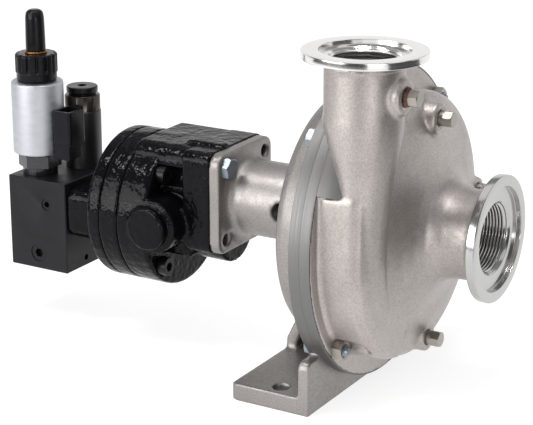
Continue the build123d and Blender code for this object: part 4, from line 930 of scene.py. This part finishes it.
dark_steel = steel_finish("blackened_steel", (0.07, 0.07, 0.075), (0.20, 0.32), metallic=0.8)
broken_edge("valve_block", "manifold_block", 0.5, "black_block", 3)
broken_edge("connector_shell", "coil_connector", 0.5, "black_plastic")
broken_edge("valve_hexagon", "valve_body", 0.35, "ground_steel", finish=dark_steel)
sleeve_start_z = 37.0
relief_sleeve = sleeve_finish("relief_sleeve", sleeve_start_z)
broken_edge("relief_body", "relief_valve_body", 0.35, "black_block", finish=relief_sleeve)
broken_edge("relief_screw_cap", "relief_cap", 0.35, "black_screw")
broken_edge("block_plugs", "manifold_plugs", 0.2, "black_screw")
broken_edge("motor_screws", "motor_cap_screws", 0.3, "black_screw")

# %% [markdown]
# The coil's steel case is a drawn can with rounded ends. Its nut is moulded with
# fourteen thumb flutes above a plain collar. The flutes are a wave on the radius that
# fades out at the collar, so the nut is one turned surface as well.

# %% Coil, nut, ring and boot
coil_low, coil_high = node_box("solenoid_coil")
coil_at = np.array([(coil_low[0] + coil_high[0]) / 2, (coil_low[1] + coil_high[1]) / 2, 0.0])
coil_r = (coil_high[0] - coil_low[0]) / 2
coil_bore_r = 8.2
coil_outline = rounded([
    (coil_low[2], coil_bore_r), (coil_low[2], coil_r), (coil_high[2], coil_r), (coil_high[2], coil_bore_r),
], [0.4, 1.5, 1.8, 0.4], 6)
coil = skin("coil_case", [(lathe(coil_outline, "z", coil_at, 160), True)])
coil_finish = steel_finish("coil_case", (0.54, 0.55, 0.585), (0.46, 0.56), grain=0.06, streak=(0.3, 0.3, 1))
fit(coil, "pump_unit", coil_finish, ["solenoid_coil"])

nut_low, nut_high = node_box("coil_nut")
flutes = 14
fluted_r = 15.0
flute_depth = 1.5


def fluted_nut(name):
    """Turned nut whose radius dips fourteen times a turn above its collar."""
    around = flutes * 16
    base = nut_low[2]
    outline = rounded([
        (base, 3.5), (base, 13.8), (base + 2.2, 14.4), (base + 6.0, 14.4), (base + 6.8, fluted_r),
        (nut_high[2], fluted_r), (nut_high[2], 3.5),
    ], [0.2, 0.8, 0.4, 0.4, 0.4, 1.8, 0.3], 5)
    middle = np.linspace(base + 7.4, nut_high[2] - 2.2, 14)
    side = np.stack([middle, np.full(14, fluted_r)], axis=1)
    split = int(np.argmax(outline[:, 0] > base + 7.2))
    rows = np.vstack([outline[:split], side, outline[split:]])
    t = angles(around)
    dip = np.clip(np.cos(flutes * t) * 1.6 - 0.5, 0, 1)[None, :]
    rise = np.clip((rows[:, 0] - base - 7.0) / 1.6, 0, 1) * np.clip((rows[:, 1] - 11.5) / 2.0, 0, 1)
    radius = rows[:, 1][:, None] - flute_depth * dip * rise[:, None]
    return skin(name, [(turned_grid(rows[:, 0], radius, "z", coil_at, around), True)], 40)


fit(fluted_nut("fluted_nut"), "pump_unit", finishes["black_plastic"], ["coil_nut"])

ring_low, ring_high = node_box("boot_ring")
brass = rounded([(ring_low[2], 4.0), (ring_low[2], 8.0), (ring_high[2], 8.0), (ring_high[2], 4.0)], 0.7, 5)
fit(skin("brass_ring", [(lathe(brass, "z", coil_at, 96), True)]), "pump_unit",
    finishes["boot_brass"], ["boot_ring"])

boot_low, boot_high = node_box("override_boot")
boot_outline = rounded([
    (boot_low[2], 3.6), (boot_low[2], 7.1), (boot_low[2] + 9.0, 7.0), (boot_high[2] - 5.5, 6.7),
    (boot_high[2] - 1.6, 5.9), (boot_high[2], 3.4), (boot_high[2], 0.0),
], [0.2, 0.7, 3.0, 3.0, 2.2, 1.6, 0.0], 6)
under = np.array([(boot_high[2] - 8.0, 0.0), (boot_high[2] - 8.0, 3.2), (boot_low[2], 3.2)])
boot_rows = np.vstack([under, boot_outline[5:-6], [(boot_high[2], 0.0)]])
boot = skin("rubber_boot", [(lathe(boot_rows, "z", coil_at, 96), False)], 50)
fit(boot, "pump_unit", finishes["black_rubber"], ["override_boot"])
print("coil stack from", round(coil_low[2], 1), "to", round(boot_high[2], 1), "mm")

# %% [markdown]
# The two valve springs shorten as the valve moves, so a spring that only rode on the
# spool would be pushed through its seat. Each is a wire along a helix whose end turns
# lie flat, and it stays with the housing.

# %% Valve springs on the housing
def spring_grid(start, end, mean_r, wire_r, turns, centre, steps=40, around=10):
    """Wire along a helix.

    The path is centre + mean_r * (cos t, sin t) + height of t, where the height stays
    flat over the first and last turn and rises evenly between. The tube adds wire_r *
    (cos v * outward + sin v * up) and shrinks to a point at both ends of the wire.
    """
    full = turns + 2
    t = np.linspace(0, 2 * math.pi * full, full * steps + 1)
    low, high = start + wire_r, end - wire_r
    rise = np.interp(t / (2 * math.pi), [0, 1, full - 1, full], [0, 0.03, 0.97, 1])
    out = np.stack([np.cos(t), np.sin(t), 0 * t], axis=1)
    path = mean_r * out + np.stack([0 * t, 0 * t, low + (high - low) * rise], axis=1)
    v = angles(around)[None, :, None]
    thick = np.full(len(t), wire_r)
    thick[[0, -1]] = 0.0
    ring = np.cos(v) * out[:, None, :] + np.sin(v) * np.array([0, 0, 1.0])
    return np.asarray(centre, float) + path[:, None, :] + thick[:, None, None] * ring


def shortening_spring(name, node, wire_r, turns):
    """Spring between its node's two ends, on the pump unit with a mesh of its own."""
    low, high = node_box(node)
    centre = ((low[0] + high[0]) / 2, (low[1] + high[1]) / 2, 0.0)
    mean_r = (high[0] - low[0]) / 2 - wire_r
    piece = skin(name, [(spring_grid(low[2], high[2], mean_r, wire_r, turns, centre), False)], 60)
    fit(piece, "pump_unit", finishes["spring_steel"], [node])
    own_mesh(piece)


shortening_spring("spool_return_spring", "spool_spring", 0.6, 5)
shortening_spring("relief_return_spring", "relief_spring", 0.8, 7)

# %% [markdown]
# The photograph was taken in a white studio with soft boxes. The camera stands about
# 1.2 m away with a long lens, turned 30.6 degrees round from the side and raised 17.8
# degrees. These come from fitting the flanges, ring, plate and foot to the picture.

# %% Camera
camera_azimuth = math.radians(30.551)
camera_elevation = math.radians(17.764)
camera_distance = 1.2286
camera_target = Vector(to_frame((-76.565, 0.0, -10.124)))
focal_pixels = 1798.75
picture_width = 533
lens_per_sensor = focal_pixels / picture_width
back_way = Vector((math.sin(camera_azimuth) * math.cos(camera_elevation),
                   -math.cos(camera_azimuth) * math.cos(camera_elevation), math.sin(camera_elevation)))
camera_data = bpy.data.cameras.new("camera")
camera_data.sensor_fit = "HORIZONTAL"
camera_data.sensor_width = 36.0
camera_data.lens = 36.0 * lens_per_sensor
camera_data.clip_end = 50.0
camera = bpy.data.objects.new("camera", camera_data)
camera.location = camera_target + back_way * camera_distance
camera.rotation_mode = "QUATERNION"
camera.rotation_quaternion = (-back_way).to_track_quat("-Z", "Y")
bpy.context.scene.collection.objects.link(camera)
bpy.context.scene.camera = camera
print("lens", round(camera_data.lens, 2), "mm")

# %% [markdown]
# Metal looks like what it reflects, so a studio builds its look from large soft boxes
# and dark cards. Here the floor and the room are white to the camera, to mirrors and
# to glass, and softer to diffuse light, which keeps the floor's shadow. Dark cards
# stand where the photographer stood and show only in reflections. They give the
# bright rims their dark bands and keep the black paint black.

# %% Floor and room
def white_rays(tree):
    """1 for rays from the camera, from a mirror or through glass, and 0 for diffuse rays."""
    rays = tree.nodes.new("ShaderNodeLightPath")
    first = tree.nodes.new("ShaderNodeMath")
    first.operation = "MAXIMUM"
    tree.links.new(rays.outputs["Is Camera Ray"], first.inputs[0])
    tree.links.new(rays.outputs["Is Glossy Ray"], first.inputs[1])
    second = tree.nodes.new("ShaderNodeMath")
    second.operation = "MAXIMUM"
    tree.links.new(first.outputs["Value"], second.inputs[0])
    tree.links.new(rays.outputs["Is Transmission Ray"], second.inputs[1])
    return second.outputs["Value"]


def floor_piece():
    """Flat square on the ground, much wider than the pump."""
    half = 3.0
    mesh = bpy.data.meshes.new("floor")
    corners = [(-half, -half, 0), (half, -half, 0), (half, half, 0), (-half, half, 0)]
    mesh.from_pydata(corners, [], [(0, 1, 2, 3)])
    floor = bpy.data.objects.new("floor", mesh)
    bpy.context.scene.collection.objects.link(floor)
    material, tree, shader, _ = start_finish("floor", (0.30, 0.30, 0.30), 0.0, 0.8)
    glow = tree.nodes.new("ShaderNodeEmission")
    glow.inputs["Strength"].default_value = floor_glow
    plain = tree.nodes.new("ShaderNodeBsdfDiffuse")
    plain.inputs["Color"].default_value = (0.80, 0.80, 0.80, 1)
    add = tree.nodes.new("ShaderNodeAddShader")
    mix = tree.nodes.new("ShaderNodeMixShader")
    tree.links.new(shader.outputs["BSDF"], add.inputs[0])
    tree.links.new(glow.outputs["Emission"], add.inputs[1])
    tree.links.new(white_rays(tree), mix.inputs["Fac"])
    tree.links.new(plain.outputs["BSDF"], mix.inputs[1])
    tree.links.new(add.outputs["Shader"], mix.inputs[2])
    tree.links.new(mix.outputs["Shader"], tree.nodes["Material Output"].inputs["Surface"])
    mesh.materials.append(material)


def room_light():
    """World that is white to camera and mirror rays and a soft vertical gradient to all others."""
    world = bpy.data.worlds.new("room")
    bpy.context.scene.world = world
    world.use_nodes = True
    tree = world.node_tree
    background = tree.nodes["Background"]
    coordinates = tree.nodes.new("ShaderNodeTexCoord")
    split = tree.nodes.new("ShaderNodeSeparateXYZ")
    tree.links.new(coordinates.outputs["Generated"], split.inputs["Vector"])
    height = to_range(tree, split.outputs["Z"], 0.0, 1.0, -0.15, 0.75)
    sky = ramp(tree, height, [(0.0, (0.42, 0.42, 0.42)), (0.35, (0.24, 0.24, 0.25)),
                              (1.0, (0.62, 0.62, 0.63))])
    white = tree.nodes.new("ShaderNodeMix")
    white.data_type = "RGBA"
    white.inputs[7].default_value = (1, 1, 1, 1)
    tree.links.new(white_rays(tree), white.inputs["Factor"])
    tree.links.new(sky, white.inputs[6])
    tree.links.new(white.outputs[2], background.inputs["Color"])
    background.inputs["Strength"].default_value = 1.0


floor_glow = 0.80
bpy.context.scene.view_settings.view_transform = "Standard"
floor_piece()
room_light()
print("floor and room ready")

# %% [markdown]
# Each lamp and card is placed by how far it is turned to the right of the camera and
# how high it stands, as a photographer would say it. Large boxes give soft light, two
# narrow strips draw thin highlights, and cards darken what the bright metal mirrors.

# %% Soft boxes and dark cards
middle = np.array([-0.06, 0.0, 0.11])


def direction(turn, rise):
    """Unit vector from the pump: turn in degrees to the right of the camera, rise above the floor."""
    azimuth = camera_azimuth + math.radians(turn)
    level = math.cos(math.radians(rise))
    return np.array([math.sin(azimuth) * level, -math.cos(azimuth) * level, math.sin(math.radians(rise))])


def soft_box(name, turn, rise, distance, width, height, power):
    """Rectangular area lamp that faces the pump from a direction at a distance in metres."""
    lamp = bpy.data.lights.new(name, "AREA")
    lamp.shape = "RECTANGLE"
    lamp.size = width
    lamp.size_y = height
    lamp.energy = power
    stand = bpy.data.objects.new(name, lamp)
    toward = Vector(direction(turn, rise))
    stand.location = Vector(middle) + toward * distance
    stand.rotation_mode = "QUATERNION"
    stand.rotation_quaternion = toward.to_track_quat("Z", "Y")
    bpy.context.scene.collection.objects.link(stand)


def show_card(name, points, rows, glow):
    """Grid of points as a board that shows only in reflections, with a dim even glow."""
    columns = len(points) // rows
    i = np.arange(rows - 1)[:, None] * columns + np.arange(columns - 1)[None, :]
    faces = np.stack([i, i + 1, i + columns + 1, i + columns], axis=-1).reshape(-1, 4)
    mesh = bpy.data.meshes.new(name)
    mesh.from_pydata(points.tolist(), [], faces.tolist())
    board = bpy.data.objects.new(name, mesh)
    bpy.context.scene.collection.objects.link(board)
    board.visible_camera = False
    board.visible_diffuse = False
    board.visible_shadow = False
    board.visible_transmission = False
    material, _, shader, _ = start_finish(name, (0.02, 0.02, 0.02), 0.0, 0.9)
    shader.inputs["Emission Color"].default_value = (1, 1, 1, 1)
    shader.inputs["Emission Strength"].default_value = glow
    mesh.materials.append(material)


def curved_card(name, turns, rises, distance, glow):
    """Patch of a sphere round the pump: distance times the direction of each turn and rise."""
    turn, rise = np.meshgrid(np.linspace(*turns, 17), np.linspace(*rises, 7))
    azimuth = camera_azimuth + np.radians(turn.ravel())
    level = np.cos(np.radians(rise.ravel()))
    height = np.sin(np.radians(rise.ravel()))
    way = np.stack([np.sin(azimuth) * level, -np.cos(azimuth) * level, height], axis=1)
    show_card(name, middle + distance * way, 7, glow)


def floor_card(name, turns, distances, glow):
    """Sector of a ring just above the floor: each distance times the direction of each turn."""
    turn, distance = np.meshgrid(np.linspace(*turns, 17), np.linspace(*distances, 3))
    azimuth = camera_azimuth + np.radians(turn.ravel())
    flat = np.stack([np.sin(azimuth), -np.cos(azimuth), 0 * azimuth], axis=1) * distance.ravel()[:, None]
    show_card(name, flat + np.array([middle[0], middle[1], 0.001]), 3, glow)


soft_box("key_box", -60, 18, 1.6, 1.4, 0.8, 14.0)
soft_box("low_box", -56, 3, 1.5, 1.1, 0.22, 4.0)
soft_box("front_box", -14, 26, 1.7, 1.2, 0.7, 1.4)
soft_box("right_box", 60, 34, 1.5, 0.6, 0.9, 1.2)
soft_box("low_front_box", 16, 2, 1.6, 0.7, 0.16, 2.6)
soft_box("top_box", 175, 72, 1.3, 1.1, 0.9, 2.4)
soft_box("left_strip", -84, 60, 1.2, 0.04, 0.45, 4.4)
soft_box("top_strip", 20, 76, 1.2, 0.45, 0.04, 4.2)
floor_card("floor_card_left", (-100, 4), (0.85, 2.9), 0.02)
floor_card("floor_card_right", (36, 100), (0.46, 2.9), 0.04)
curved_card("front_card_left", (-120, 14), (-3, 10), 2.7, 0.02)
curved_card("front_card_right", (30, 84), (-3, 14), 2.7, 0.05)
curved_card("ceiling_card_front", (-120, 84), (14, 90), 2.9, 0.22)
curved_card("ceiling_card_back", (84, 240), (28, 90), 2.9, 0.30)
print("lamps and cards ready")
